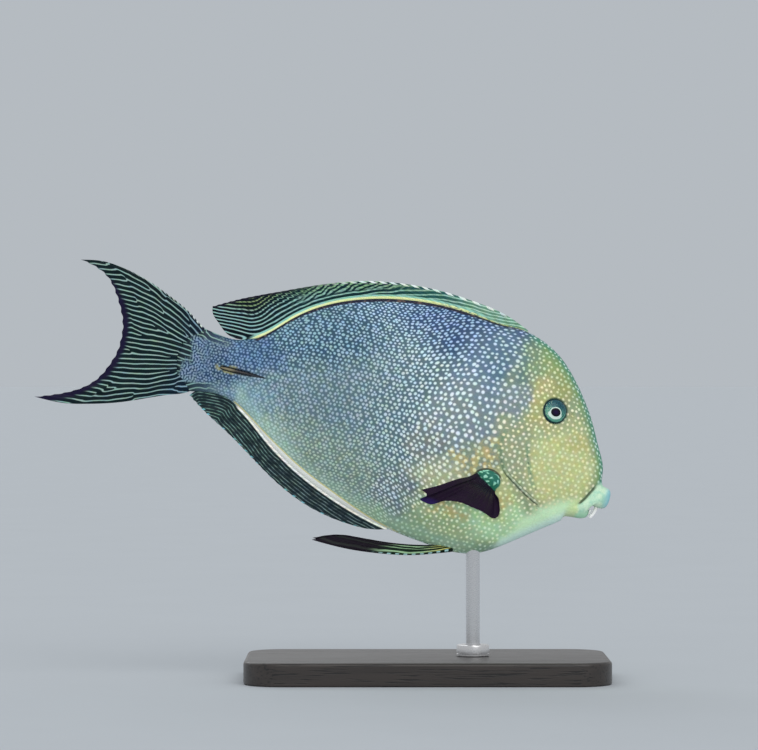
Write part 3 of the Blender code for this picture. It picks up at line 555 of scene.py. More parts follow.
# Colours of the ground and of the dots, in ovals of the fish's frame laid over each other:
# (x, z), (radius along, radius up), the ground, the dots. A colour is (red, green, blue) as on a
# screen.
FLANK_GROUND, FLANK_DOTS = (86, 110, 120), (214, 238, 242)
FLANK_ZONES = [
    ((18, 0), (78, 70), (86, 110, 120), (152, 176, 186)),
    ((40, 48), (58, 30), (50, 82, 104), (176, 210, 228)),
    ((42, 26), (34, 20), (50, 80, 100), (148, 184, 202)),
    ((98, 60), (62, 26), (58, 88, 114), (182, 213, 236)),
    ((114, 44), (34, 18.5), (38, 68, 104), (161, 193, 229)),
    ((55, -42), (48, 30), (106, 128, 122), (166, 189, 176)),
    ((32, -24), (20, 13), (124, 150, 142), (172, 198, 190)),
    ((23, -10), (15, 9), (102, 132, 146), (150, 180, 192)),
    ((5, 5), (26, 16), (38, 64, 92), (122, 147, 171)),
    ((114, -60), (52, 22), (118, 146, 116), (180, 208, 178)),
    ((128, 6), (22, 40), (96, 120, 140), (206, 228, 240)),
    ((116, 0), (17, 21), (117, 133, 138), (222, 238, 239)),
    ((105, -11), (10, 10), (112, 124, 124), (214, 228, 226)),
    ((128, 32), (10, 10), (80, 108, 128), (190, 216, 230)),
    ((26, 9), (13, 9.5), (44, 74, 106), (118, 150, 184)),
    ((121, -28), (25, 12), (166, 174, 142), (236, 244, 212)),
    ((99, -34), (13, 10), (98, 114, 118), (198, 216, 218)),
    ((128, -38), (24, 11), (148, 170, 128), (228, 242, 200)),
    ((146, -34), (20, 13), (169, 209, 162), (222, 249, 210)),
    ((134, -13), (14, 10), (128, 141, 120), (200, 212, 188)),
    ((142, -24), (9, 14), (176, 187, 134), (230, 239, 186)),
]
ORANGE_ZONES = [((124.5, -14.5), (12, 5.0)), ((133.2, -9.5), (4.4, 8.0)), ((121, -36.5), (9, 4.0)),
                ((141, -28), (7, 6))]
HEAD_GROUND, HEAD_DOTS = (142, 154, 122), (240, 238, 202)
HEAD_ZONES = [
    ((146, 34), (16, 22), (94, 121, 114), (188, 214, 192)),
    ((158, 34), (18, 10), (132, 152, 102), (204, 220, 172)),
    ((144, -10), (10, 15), (144, 155, 124), (224, 229, 198)),
    ((150, 18), (8, 12), (162, 164, 114), (234, 234, 184)),
    ((137, 16), (8, 10), (118, 134, 136), (208, 220, 222)),
    ((160, 25), (9, 7), (146, 154, 104), (208, 214, 168)),
    ((164, -8), (16, 20), (183, 190, 135), (219, 227, 173)),
    ((168, 3), (6, 5), (172, 176, 120), (214, 216, 166)),
]
THROAT = (204, 241, 197)

# An oval of colour with a soft edge.
oval, given, result = new_group("oval_zone", {"Place": "Vector", "Centre": "Vector", "Radii": "Vector"},
                                {"Share": "Float"})
reach = oval.vector("DIVIDE", oval.vector("SUBTRACT", given["Place"], given["Centre"]), given["Radii"])
oval.set(result["Share"], oval.step(oval.vector("LENGTH", reach), 1.25, 0.55))

# Dots on a six-sided lattice, each a little out of place. Size is a dot's radius as a share of the
# distance between neighbours. The lattice is sheared square, for the cells, and the way from a
# dot's middle back again.
dots, given, result = new_group("dot_lattice", {"Lattice": "Vector", "Size": "Float", "Edge": "Float"},
                                {"Mask": "Float", "Off": "Vector"})
bent = dots.stray(given["Lattice"], (0.7, 0.7, 0.0), noise_dimensions="2D", Scale=0.22, Detail=1.0)
u, v, _ = dots.parts(bent)
square = dots.join(dots.calc("MULTIPLY_ADD", v, -0.57735, u), dots.times(v, 1.1547))
cells = dots.put("ShaderNodeTexVoronoi", voronoi_dimensions="2D", Vector=square, Scale=1.0, Randomness=0.40)
du, dv, _ = dots.parts(dots.vector("SUBTRACT", square, cells.outputs["Position"]))
off = dots.join(dots.calc("MULTIPLY_ADD", dv, 0.5, du), dots.times(dv, 0.866))
away = dots.vector("LENGTH", off)
variety = dots.put("ShaderNodeTexWhiteNoise", cells.outputs["Position"], noise_dimensions="3D").outputs[0]
size = dots.times(given["Size"], dots.spread(variety, 0.76, 1.2))
dots.set(result["Mask"], dots.inside(away, size, given["Edge"]))
dots.set(result["Off"], off)

# The grain of tiny scales: small rounded plates with shallow valleys.
grain, given, result = new_group("scale_grain", {"Place": "Vector", "Spacing": "Float"},
                                 {"Height": "Float"})
in_plates = grain.vector("DIVIDE", given["Place"], grain.join(*[given["Spacing"]] * 3))
plates = grain.put("ShaderNodeTexVoronoi", feature="SMOOTH_F1", Vector=in_plates, Scale=1.0,
                   Smoothness=0.35)
grain.set(result["Height"], grain.without(plates.outputs["Distance"]))

# Lines that wind about, each as wide as the gaps between them.
maze, given, result = new_group("maze_lines", {"Place": "Vector"}, {"Mask": "Float"})
x, _, z = maze.parts(given["Place"])
winding = maze.put("ShaderNodeTexGabor", maze.join(x, z), Scale=0.40, Frequency=2.0, Anisotropy=0.0)
maze.set(result["Mask"], maze.step(winding.outputs["Value"], 0.43, 0.57))

# Pale lines on a dark ground. Phase counts the lines, and Fill is the share that a line takes.
lines, given, result = new_group("fin_lines",
                                 {"Phase": "Float", "Place": "Vector", "Wobble": "Float", "Fill": "Float"},
                                 {"Mask": "Float"})
wavy = lines.noise(given["Place"], 0.11, 1.0)
kinks = lines.noise(given["Place"], 0.4, 1.0)
shift = lines.calc("ADD", lines.calc("SUBTRACT", wavy, 0.5),
                   lines.times(lines.calc("SUBTRACT", kinks, 0.5), 0.15))
phase = lines.calc("MULTIPLY_ADD", shift, given["Wobble"], given["Phase"])
saw = lines.saw(phase)
fill = lines.times(given["Fill"], 0.5)
lines.set(result["Mask"], lines.inside(saw, fill, 0.09))

# The lines of the tail fin and of the skin at its root. They run with the rays, whose slope is
# given, and one forks where there's room for another.
TAIL_LINE_STEP = 2.0      # from one pale line to the next, in millimetres
TAIL_LINES_ALIKE = 9.0    # lines that run side by side before one forks

tail_lines, given, result = new_group("tail_lines", {"Place": "Vector", "Slope": "Float"},
                                      {"Mask": "Float"})
x, _, z = tail_lines.parts(given["Place"])
forking = tail_lines.put("ShaderNodeTexGabor", tail_lines.join(x, z),
                         Scale=1 / (TAIL_LINE_STEP * TAIL_LINES_ALIKE), Frequency=TAIL_LINES_ALIKE,
                         Orientation=tail_lines.calc("ADD", given["Slope"], math.pi / 2))
along_rays = tail_lines.use(lines.tree, Phase=forking.outputs["Phase"], Place=given["Place"], Wobble=0.6,
                            Fill=0.22)
tail_lines.set(result["Mask"], along_rays["Mask"])

# Colours that drift a little from place to place, as a factor for each of red, green and blue.
drift, given, result = new_group("colour_drift", {"Place": "Vector"}, {"Factor": "Vector"})
drift.set(result["Factor"],
          drift.stray(given["Place"], (0.55, 0.25, 0.7), (1.0, 1.0, 1.0), Scale=0.33, Detail=3.0))


def in_oval(nodes, place, centre, radii):
    """How far a place lies within an oval, given as (x, z) and (radius along, radius up)."""
    return nodes.use(oval.tree, Place=place, Centre=(centre[0], 0.0, centre[1]),
                     Radii=(radii[0], 1.0, radii[1]))["Share"]


def cream_line(nodes, place, x, away, *ends):
    """The cream line of the back, thinner to the front and there broken into beads."""
    away = nodes.calc("MULTIPLY_ADD", nodes.step(x, 104.0, 124.0), 0.35, away)
    gaps = nodes.times(nodes.step(nodes.noise(place, 0.8, 0.0), 0.52, 0.40), nodes.step(x, 88.0, 108.0))
    return nodes.times(nodes.step(away, *ends), nodes.spread(gaps, 1.0, 0.2))


def pectoral_root(nodes, x, z):
    """The colour of the pectoral fin's fleshy root: teal with pale spots."""
    lattice = nodes.join(nodes.calc("DIVIDE", x, 2.9), nodes.calc("DIVIDE", z, 2.4))
    spots = nodes.use(dots.tree, Lattice=lattice, Size=0.27, Edge=0.12)["Mask"]
    return nodes.mix(spots, (40, 108, 90), (150, 216, 190))


def drifting(nodes, colour, place):
    """A colour that drifts a little from place to place."""
    return nodes.vector("MULTIPLY", colour, nodes.use(drift.tree, Place=place)["Factor"])


skin_finish, nodes = material("fish_skin", Specular_IOR_Level=0.3, Coat_Weight=0.05, Coat_Roughness=0.3)
fish_place = nodes.attribute("fish_place")
x, _, z = nodes.parts(fish_place)
shaken = nodes.stray(fish_place, (14.0, 0.0, 14.0), Scale=0.11, Detail=3.0)
shaken_flat = nodes.vector("MULTIPLY", shaken, (1.0, 0.0, 1.0))
shaken_x, _, shaken_z = nodes.parts(shaken)
drop, rise, spine_reach = nodes.parts(nodes.attribute("from_edges"))
gill, preopercle, fold = nodes.parts(nodes.attribute("from_lines"))
eye_reach, pectoral_reach, round_body = nodes.parts(nodes.attribute("from_parts"))
slit, on_slit, _ = nodes.parts(nodes.attribute("from_slit"))


def laid_over(ground, spots, zones):
    for centre, radii, zone_ground, zone_spots in zones:
        share = in_oval(nodes, shaken_flat, centre, radii)
        ground = nodes.over(ground, zone_ground, share)
        spots = nodes.over(spots, zone_spots, share)
    return ground, spots


flank_ground, flank_spots = laid_over(FLANK_GROUND, FLANK_DOTS, FLANK_ZONES)
head_ground, head_spots = laid_over(HEAD_GROUND, HEAD_DOTS, HEAD_ZONES)

# The forehead's edge is green, and teal at the brink, with brighter dots.
forehead = nodes.times(nodes.step(drop, 6.0, 1.0), nodes.step(x, 134.0, 150.0))
head_ground = nodes.over(head_ground, (104, 148, 102), forehead, 0.8)
head_spots = nodes.over(head_spots, (178, 214, 180), forehead)
brink = nodes.times(nodes.step(drop, 2.6, 0.4), nodes.step(x, 120.0, 134.0))
head_ground = nodes.over(head_ground, (58, 132, 116), brink, 0.8)
head_spots = nodes.over(head_spots, (206, 234, 226), brink)

# The ground turns from slate to olive over a soft border, and the dots, which are all whole, from
# one lattice to the other.
bulge = nodes.times(nodes.step(z, 44.0, 2.0), -4.5)
waver = nodes.calc("MULTIPLY_ADD", nodes.calc("SUBTRACT", shaken_x, x), -0.4, gill)
border = nodes.calc("ADD", waver, bulge)
head_share = nodes.step(border, 4.0, -3.5)
ground = nodes.mix(head_share, flank_ground, head_ground)
spot_colour = nodes.mix(head_share, flank_spots, head_spots)

# The dots shrink a little to the front, and to the tail their edges grow softer.
fine = nodes.step(x, 70.0, 20.0)
flank_place, head_place = nodes.attribute("flank_lattice"), nodes.attribute("head_lattice")
size = nodes.calc("MULTIPLY_ADD", nodes.step(x, 88.0, 128.0), -0.055, nodes.spread(fine, 0.292, 0.312))
flank_dots = nodes.use(dots.tree, Lattice=flank_place, Size=size, Edge=nodes.spread(fine, 0.13, 0.17))
head_dots = nodes.use(dots.tree, Lattice=head_place, Size=0.215, Edge=0.14)
_, _, flank_step = nodes.parts(flank_place)
border_reach, border_x, border_z = nodes.parts(nodes.attribute("from_border"))
slope = nodes.join(border_x, nodes.times(border_z, -1.0))
from_flank_dot = nodes.calc("MULTIPLY_ADD", nodes.vector("DOT_PRODUCT", flank_dots["Off"], slope),
                            flank_step, border_reach)
from_head_dot = nodes.calc("MULTIPLY_ADD", nodes.vector("DOT_PRODUCT", head_dots["Off"], slope),
                           HEAD_SPACING, border_reach)
marks = nodes.calc("MAXIMUM", nodes.times(flank_dots["Mask"], nodes.step(from_flank_dot, -0.05, 0.05)),
                   nodes.times(head_dots["Mask"], nodes.step(from_head_dot, 0.05, -0.05)))

# Orange shows in patches between the dots round the pectoral fin.
patches = nodes.step(nodes.noise(fish_place, 0.34, 2.0), 0.38, 0.6)
for centre, radii in ORANGE_ZONES:
    share = nodes.times(in_oval(nodes, shaken_flat, centre, radii), patches, 0.8)
    ground = nodes.over(ground, (181, 171, 115), share)
    spot_colour = nodes.over(spot_colour, (240, 235, 176), share)

# The dots run together into a maze at the root of the tail. The tail fin's lines run on over the
# skin there, and further along its upper and lower edges.
to_maze = nodes.step(shaken_x, 7.0, 1.5)
marks = nodes.blend(to_maze, marks, nodes.use(maze.tree, Place=fish_place)["Mask"])
fan = nodes.calc("ARCTAN2", z, nodes.calc("SUBTRACT", 30.0, x))
fan = nodes.times(fan, nodes.step(x, 12.0, -3.0), -1.0)
from_edge = nodes.calc("MINIMUM", drop, rise)
edging = nodes.times(nodes.step(from_edge, 5.0, 3.2), nodes.step(shaken_x, 14.0, 6.0))
striped = nodes.calc("MAXIMUM", nodes.step(shaken_x, -1.0, -3.6), edging)
marks = nodes.blend(striped, marks, nodes.use(tail_lines.tree, Place=fish_place, Slope=fan)["Mask"])
ground = nodes.over(ground, (14, 34, 42), striped, nodes.step(x, 12.0, -2.0))
spot_colour = nodes.over(spot_colour, (134, 170, 162), striped)

# The throat and the chin are plain and pale, and so are the lips, which are bluish in front.
throat = in_oval(nodes, shaken_flat, (166.0, -30.5), (10.0, 4.2))
keel_height = nodes.times(nodes.step(shaken_x, 134.0, 160.0), 8.6)
keel = nodes.times(nodes.step(nodes.calc("SUBTRACT", rise, keel_height), 3.0, -3.0),
                   nodes.step(shaken_x, 138.0, 150.0), nodes.step(x, 180.0, 172.0))
throat = nodes.calc("MAXIMUM", nodes.times(throat, nodes.step(z, -24.8, -28.0)), keel)
low_lip = nodes.times(nodes.step(round_body, 1.6, 2.1), 2.6)
lips = nodes.step(nodes.calc("ADD", fold, low_lip), 1.2, -1.0)
plain = nodes.calc("MAXIMUM", nodes.times(throat, 0.88), lips)
marks = nodes.times(marks, nodes.without(plain))
ground = nodes.over(ground, nodes.mix(nodes.step(rise, 5.0, 0.5), THROAT, (210, 243, 232)), throat)
by_lips = nodes.times(nodes.step(fold, 6.0, 0.0), nodes.step(round_body, 1.2, 1.7))
ground = nodes.over(ground, (192, 212, 142), by_lips, 0.7)
cloud = nodes.step(nodes.noise(fish_place, 0.35, 2.0), 0.35, 0.65)
lip_colour = nodes.mix(cloud, (160, 206, 182), (196, 226, 196))
lip_colour = nodes.over(lip_colour, (140, 198, 208), nodes.step(x, 184.0, 187.6))
lip_colour = nodes.over(lip_colour, (176, 230, 192), nodes.step(round_body, 1.9, 2.5))
ground = nodes.over(ground, lip_colour, lips)

# Root of the pectoral fin: teal with pale flecks, and a dark ring above it.
fleshy = nodes.step(pectoral_reach, 1.0, 0.86)
ground = nodes.over(ground, pectoral_root(nodes, shaken_x, shaken_z), fleshy)
ring = nodes.times(nodes.step(nodes.apart(pectoral_reach, 0.97), 0.11, 0.04), nodes.step(z, -20.5, -17.5))
ground = nodes.over(ground, (44, 52, 44), ring, 0.85)
marks = nodes.times(marks, nodes.without(nodes.calc("MAXIMUM", fleshy, ring)))

# The ground is mottled, and ground and dots drift in colour where they aren't plain.
shade = nodes.spread(nodes.noise(fish_place, 1.3, 3.0), 0.84, 1.16)
ground = nodes.vector("MULTIPLY", ground, nodes.join(shade, shade, shade))
tinge = nodes.use(drift.tree, Place=fish_place)["Factor"]
colour = nodes.vector("MULTIPLY", nodes.mix(marks, ground, spot_colour),
                      nodes.mix(plain, tinge, (1.0, 1.0, 1.0, 1.0)))

# Along the foot of the dorsal fin runs a cream line, over a dark one with rusty blobs.
on_dorsal = nodes.between(x, 22.0, 25.0, 141.0, 122.0)
below_line = nodes.calc("MULTIPLY_ADD", nodes.step(x, 104.0, 80.0), -0.35, drop)
below_line = nodes.calc("MULTIPLY_ADD", nodes.step(x, 106.0, 120.0), 0.8, below_line)
dark_line = nodes.times(nodes.step(below_line, 2.15, 1.7), on_dorsal)
blobs = nodes.step(nodes.noise(fish_place, 0.5, 1.0), 0.56, 0.68)
colour = nodes.over(colour, nodes.mix(blobs, (28, 18, 44), (98, 78, 70)), dark_line, 0.95)
cream = nodes.mix(nodes.step(x, 104.0, 126.0), (222, 226, 160), (190, 190, 126))
colour = nodes.over(colour, cream, cream_line(nodes, fish_place, x, drop, 0.8, 0.55), on_dorsal)

# The belly pales to its edge, partly in its own pale colour and partly as painted light that makes up
# for the shade it gets from facing down. Over the anal fin its edge is white, and pale flecks lie before
# it.
band = nodes.times(nodes.between(x, 19.0, 48.0, 106.0, 66.0), 3.1)
on_anal = nodes.between(x, 20.0, 22.0, 106.0, 98.0)
outside = nodes.calc("SUBTRACT", rise, band)
on_belly = nodes.between(x, 20.0, 22.0, 146.0, 126.0)
# Paler to the lower edge: the belly's own pale colour, and painted light for the shade it gets facing down.
colour = nodes.over(colour, (200, 238, 214), nodes.step(rise, 14.0, 3.0), on_belly, 0.26)
colour = nodes.over(colour, (218, 212, 150), nodes.step(outside, 1.2, 0.6), on_anal)
colour = nodes.over(colour, (244, 247, 240), nodes.step(outside, 0.35, -0.05), on_anal)
belly_flecks = nodes.times(nodes.step(rise, 1.3, 0.5),
                           nodes.step(nodes.noise(fish_place, 0.7, 0.0), 0.5, 0.58),
                           nodes.between(x, 92.0, 97.0, 140.0, 130.0))
colour = nodes.over(colour, (200, 234, 222), belly_flecks)

# Along the slit of the gill cover lie a dark line of painted shade, in the slit under the cover's free
# edge, and a pale and a dark line on the cover. The skin is greener along the slit and along the
# preopercle, which has a broken line of its own.
slit_shown = nodes.times(on_slit, nodes.step(z, -12.5, -17.0))
# The first is painted shade in the slit, under the cover's free edge; the pale and the last dark line lie
# on the cover.
SLIT_SHADE_AND_LINES = [(0.5, 0.4, 0.7, (48, 76, 66)), (-0.3, 0.35, 0.5, (196, 222, 196)),
              (-1.0, 0.3, 0.45, (78, 100, 80))]
for line_at, half, strength, line_colour in SLIT_SHADE_AND_LINES:
    one_line = nodes.step(nodes.apart(slit, line_at), half, half * 0.4)
    colour = nodes.over(colour, line_colour, one_line, slit_shown, strength)
dashes = nodes.step(nodes.noise(fish_place, 0.5, 1.0), 0.45, 0.55)
streak = nodes.times(nodes.step(nodes.calc("ABSOLUTE", slit), 1.3, 0.4),
                     nodes.between(z, 6.0, -1.0, -17.0, -12.0))
by_preopercle = nodes.times(nodes.step(preopercle, 1.5, 0.4), nodes.between(z, 3.0, -4.0, -21.0, -17.0))
streak = nodes.calc("MAXIMUM", streak, by_preopercle)
colour = nodes.over(colour, (102, 142, 116), streak, nodes.without(marks), 0.5)
preopercle_line = nodes.times(nodes.step(preopercle, 0.5, 0.15), nodes.between(z, 4.0, -4.0, -22.0, -18.0))
colour = nodes.over(colour, (64, 92, 74), preopercle_line, dashes, 0.6)

# The groove behind the lips, darkened with painted shade, the rim of the eye, and the tail spine's edge
# and its groove, which is also darkened with painted shade.
groove = nodes.times(nodes.step(nodes.calc("ABSOLUTE", fold), 0.75, 0.25),
                     nodes.between(round_body, 0.5, 0.8, 1.72, 1.55))
colour = nodes.over(colour, (48, 66, 38), groove, 0.85)
eye_rim = nodes.times(nodes.step(eye_reach, 6.2, 5.4),
                      nodes.spread(nodes.noise(fish_place, 0.5, 1.0), 0.4, 1.0))
colour = nodes.over(colour, (44, 84, 80), eye_rim)
spine_edge = nodes.times(nodes.step(spine_reach, 2.6, 1.4), nodes.step(x, 24.0, 17.0))
colour = nodes.over(colour, (150, 150, 96), spine_edge, patches, 0.7)
# Painted shade in the groove that the tail spine lies in.
spine_groove_shade = nodes.step(spine_reach, 1.3, 0.9)
colour = nodes.over(colour, (38, 40, 46), spine_groove_shade, 0.9)
wet = nodes.noise(fish_place, 0.6, 3.0)
nodes.finish(Base_Color=colour,
             Roughness=nodes.calc("MULTIPLY_ADD", marks, -0.05, nodes.spread(wet, 0.36, 0.5)))
nodes.bump(nodes.use(grain.tree, Place=fish_place, Spacing=0.8)["Height"], 0.10)

faces, uv = tube(len(rows), 2 * (len(columns) - 1))
coat = add_piece("skin", both_sides(left, -1).reshape(-1, 3), faces, skin_finish,
                 {key: both_sides(grid).reshape(-1, 3) for key, grid in skin_facts.items()}, uv)
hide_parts("head", "lips", "torso", "tail")


# Eyes. Glass eyes, each one ball with a clear wet coat over a painted iris and a pupil. They are
# sunk in the sockets of the skin.
SIDES = (("left", 1), ("right", -1))
EYE_RADIUS = 5.8
EYE_DEPTH = 4.4           # half the ball's thickness, across the head
EYE_SUNK = 2.0            # how far its middle lies under the skin
PUPIL_RADII = (2.0, 1.7)
PUPIL_AT = (-0.3, -0.9)   # from the middle of the eye, forward and up

eye_finish, nodes = material("eye_glass", Specular_IOR_Level=0.12, Coat_Weight=0.35, Coat_Roughness=0.02,
                             Coat_IOR=1.5)
eye_place = nodes.attribute("eye_place")
ex, ey, _ = nodes.parts(eye_place)
out = nodes.vector("LENGTH", nodes.join(ex, ey))
ragged = nodes.calc("SUBTRACT", nodes.noise(eye_place, 1.1, 3.0), 0.5)
px = nodes.calc("DIVIDE", nodes.calc("SUBTRACT", ex, PUPIL_AT[0]), PUPIL_RADII[0])
py = nodes.calc("DIVIDE", nodes.calc("SUBTRACT", ey, PUPIL_AT[1]), PUPIL_RADII[1])
pupil_out = nodes.vector("LENGTH", nodes.join(px, py))
low = nodes.step(py, 0.2, -0.9)
iris = nodes.mix(nodes.step(ey, -2.0, 2.6), (86, 150, 130), (44, 98, 104))
arcs = nodes.calc("SINE", nodes.calc("MULTIPLY_ADD", ragged, 5.0, nodes.times(out, 7.2)))
front = nodes.step(nodes.calc("ADD", ex, ey), -0.6, 1.6)
iris = nodes.over(iris, (24, 60, 72), nodes.step(arcs, 0.1, 0.8), front)
mottle = nodes.step(nodes.noise(eye_place, 1.9, 2.0), 0.52, 0.62)
iris = nodes.over(iris, (20, 50, 70), mottle, nodes.step(ey, 0.6, 2.4))
glint = nodes.times(nodes.step(nodes.noise(eye_place, 2.6, 1.0), 0.58, 0.66), nodes.step(ex, -2.2, -3.4))
iris = nodes.over(iris, (190, 214, 180), glint)
pale = nodes.calc("ADD", nodes.times(low, 0.42), nodes.calc("MULTIPLY_ADD", ragged, 0.3, 1.2))
iris = nodes.over(iris, (206, 228, 216), nodes.step(pupil_out, nodes.calc("ADD", pale, 0.16), pale))
iris = nodes.over(iris, (12, 4, 26), nodes.step(pupil_out, 1.14, 1.02))
iris = nodes.over(iris, (28, 6, 52), nodes.step(pupil_out, 0.8, 0.2))
iris = nodes.over(iris, (22, 50, 58), nodes.step(nodes.calc("MULTIPLY_ADD", ragged, 0.5, out), 4.55, 5.0))
nodes.finish(Base_Color=iris, Roughness=nodes.spread(nodes.noise(eye_place, 3.0, 2.0), 0.08, 0.2))
nodes.bump(arcs, 0.02)

rows, columns = 44, 96
lift = np.linspace(0.01, math.pi - 0.01, rows)[:, None]
turn = np.linspace(0, 2 * math.pi, columns, endpoint=False)[None, :]
ball_forward = EYE_RADIUS * np.sin(lift) * np.cos(turn)
ball_up = EYE_RADIUS * np.sin(lift) * np.sin(turn)
ball_out = EYE_DEPTH * np.cos(lift) + 0.0 * turn
ball = (eye_point - eye_normal * EYE_SUNK + ball_forward[..., None] * eye_forward
        + ball_up[..., None] * eye_up + ball_out[..., None] * eye_normal)
eye_facts = {"eye_place": np.stack([ball_forward, ball_up, ball_out], axis=-1).reshape(-1, 3)}
faces, uv = tube(rows, columns)
for side, mirror in SIDES:
    eye = add_piece(f"glass_eye_{side}", ball.reshape(-1, 3) * (1, mirror, 1), faces, eye_finish, eye_facts,
                    uv)
    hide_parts(f"eye_{side}")


# Tail spines. A horny lancet on each side of the tail's root, which lies in its groove with its
# point forward.
SPINE_LENGTH = 15.2
SPINE_HALF_HEIGHT = 0.62
SPINE_HALF_THICKNESS = 0.75
SPINE_SUNK = 0.3

spine_finish, nodes = material("horn", Coat_Weight=0.3, Coat_Roughness=0.2)
horn_place = nodes.attribute("horn_place")
streaks = nodes.noise(nodes.vector("MULTIPLY", horn_place, (0.35, 2.6, 2.6)), 1.0, 4.0)
along, _, _ = nodes.parts(horn_place)
horn = nodes.mix(streaks, (92, 88, 72), (146, 138, 108))
horn = nodes.over(horn, nodes.mix(streaks, (32, 30, 32), (66, 60, 58)), nodes.step(along, 4.0, 8.0))
nodes.finish(Base_Color=horn, Roughness=nodes.spread(streaks, 0.28, 0.5))
nodes.bump(streaks, 0.06)

rows, columns = 56, 28
share = np.linspace(0.0, 1.0, rows)[:, None]
turn = np.linspace(0, 2 * math.pi, columns, endpoint=False)[None, :]
girth = np.clip(np.sin(np.pi * share ** 0.72), 0, 1) ** 0.8 * (1 - 0.25 * share)
spine_point, _, _ = skin_at(*SPINE_XZ)
front_point, _, _ = skin_at(SPINE_XZ[0] + SPINE_LENGTH / 4, SPINE_XZ[1])
rear_point, _, _ = skin_at(SPINE_XZ[0] - SPINE_LENGTH / 4, SPINE_XZ[1])
spine_run = (front_point - rear_point) / np.linalg.norm(front_point - rear_point)
spine_out = np.cross(spine_run, (0.0, 0.0, 1.0))
spine_out *= np.sign(spine_out[1]) / np.linalg.norm(spine_out)
keel = np.sign(np.cos(turn)) * np.abs(np.cos(turn)) ** 1.25
lancet = (spine_point - spine_out * SPINE_SUNK
          + ((share - 0.5) * SPINE_LENGTH + 0.0 * turn)[..., None] * spine_run
          + (girth * SPINE_HALF_THICKNESS * keel)[..., None] * spine_out
          + (girth * SPINE_HALF_HEIGHT * np.sin(turn))[..., None] * np.array([0.0, 0.0, 1.0]))
horn_facts = {"horn_place": np.stack([share * SPINE_LENGTH + 0 * turn, girth * np.cos(turn),
                                      girth * np.sin(turn)], axis=-1).reshape(-1, 3)}
faces, uv = tube(rows, columns)
for side, mirror in SIDES:
    spine = add_piece(f"lancet_{side}", lancet.reshape(-1, 3) * (1, mirror, 1), faces, spine_finish,
                      horn_facts, uv)
    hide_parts(f"tail_spine_{side}")


# Dorsal fin. Eight stiff spines and twenty-seven branched soft rays hold up one thin membrane,
# whose foot is sunk in the skin of the back. Dark, with pale lines along its length.
# Fins are outlined in the fish's frame, as (x, z) or (x, y, z), from the front to the rear or from
# the root to the tip.
DORSAL_EDGE = [(136.5, 46.0), (125.4, 50.3), (111.7, 52.6), (98.1, 53.7), (85.0, 53.4), (65.7, 50.7),
               (47.0, 44.9), (29.1, 37.3), (12.0, 29.6), (2.4, 24.4)]
DORSAL_REAR = [(16.5, 13.2), (12.0, 13.9), (6.2, 18.3), (3.0, 21.8)]
BACK, BELLY = 0.0, math.pi    # angles round the body
DORSAL_SPINES = 8
DORSAL_SOFT_RAYS = 27
DORSAL_SPLIT = 0.245      # share of the fin that the spines take
DORSAL_LEAN = 0.11
BEND_HOLD = 8.0
FOOT_SUNK = 0.9           # of a fin's foot, under the skin
MEMBRANE = 0.12           # half the thickness, in millimetres
RAY_AT_ROOT = 0.50
RAY_AT_TIP = 0.20


def edge_curve(points):
    """A smooth curve through points, as a function that runs from 0 to 1 by length."""
    points = np.asarray(points, float)
    run = np.concatenate([[0.0], np.cumsum(np.linalg.norm(np.diff(points, axis=0), axis=1))])
    return smooth_curve(run / run[-1], points)


def flat_points(points):
    return [(x, 0.0, z) for x, z in points]


def middle_root(first, last, side, points, outward):
    """A fin's foot along the back or the belly, that far outside the skin."""
    distance = np.linspace(first, last, points)
    at = skin(distance, np.full_like(distance, side))
    along = np.gradient(at, axis=0)
    along /= np.linalg.norm(along, axis=1, keepdims=True)
    out = np.stack([along[:, 2], 0 * along[:, 0], -along[:, 0]], axis=1)
    out *= np.sign(out[:, 2:3]) * (1 if side == BACK else -1)
    return edge_curve(at + out * outward)


def leaning(outer, lean):
    """The outer edge, read further back in mid-fin, so that the rays lie back."""
    return lambda share: outer(np.clip(share + lean * np.sin(np.pi * np.asarray(share)), 0, 1))


def fin_patch(root, outer, first, last, hold=1.0):
    """The smooth patch between four edge curves, as a function of (across the rays, along a ray)."""
    def at(across, along):
        across, along = np.broadcast_arrays(np.asarray(across, float), np.asarray(along, float))
        u, v = across[..., None], along[..., None]
        straight = (1 - v) * root(across) + v * outer(across)
        first_bend = first(along) - (1 - v) * root(0.0) - v * outer(0.0)
        last_bend = last(along) - (1 - v) * root(1.0) - v * outer(1.0)
        return straight + (1 - u) ** hold * first_bend + u ** hold * last_bend
    return at


def middle_fin(first, last, side, points, edge, rear, lean):
    """The patch of a fin on the back or the belly, with its outer edge, its last ray and the line
    in the plane where it leaves the skin."""
    foot = middle_root(first, last, side, points, -FOOT_SUNK)
    outer = edge_curve(flat_points(edge))
    last_ray = edge_curve([foot(1.0), *flat_points(rear), outer(1.0)])
    patch = fin_patch(foot, leaning(outer, lean), edge_curve([foot(0.0), outer(0.0)]), last_ray, BEND_HOLD)
    on_skin = middle_root(first, last, side, points, 0.0)(np.linspace(0, 1, 60))[:, [0, 2]]
    return patch, outer, last_ray, on_skin


def patch_normal(patch, across, along):
    step = 1e-3
    u0, u1 = np.clip(across - step, 0, 1), np.clip(across + step, 0, 1)
    v0, v1 = np.clip(along - step, 0, 1), np.clip(along + step, 0, 1)
    normal = np.cross(patch(u1, along) - patch(u0, along), patch(across, v1) - patch(across, v0))
    return normal / np.linalg.norm(normal, axis=-1, keepdims=True)


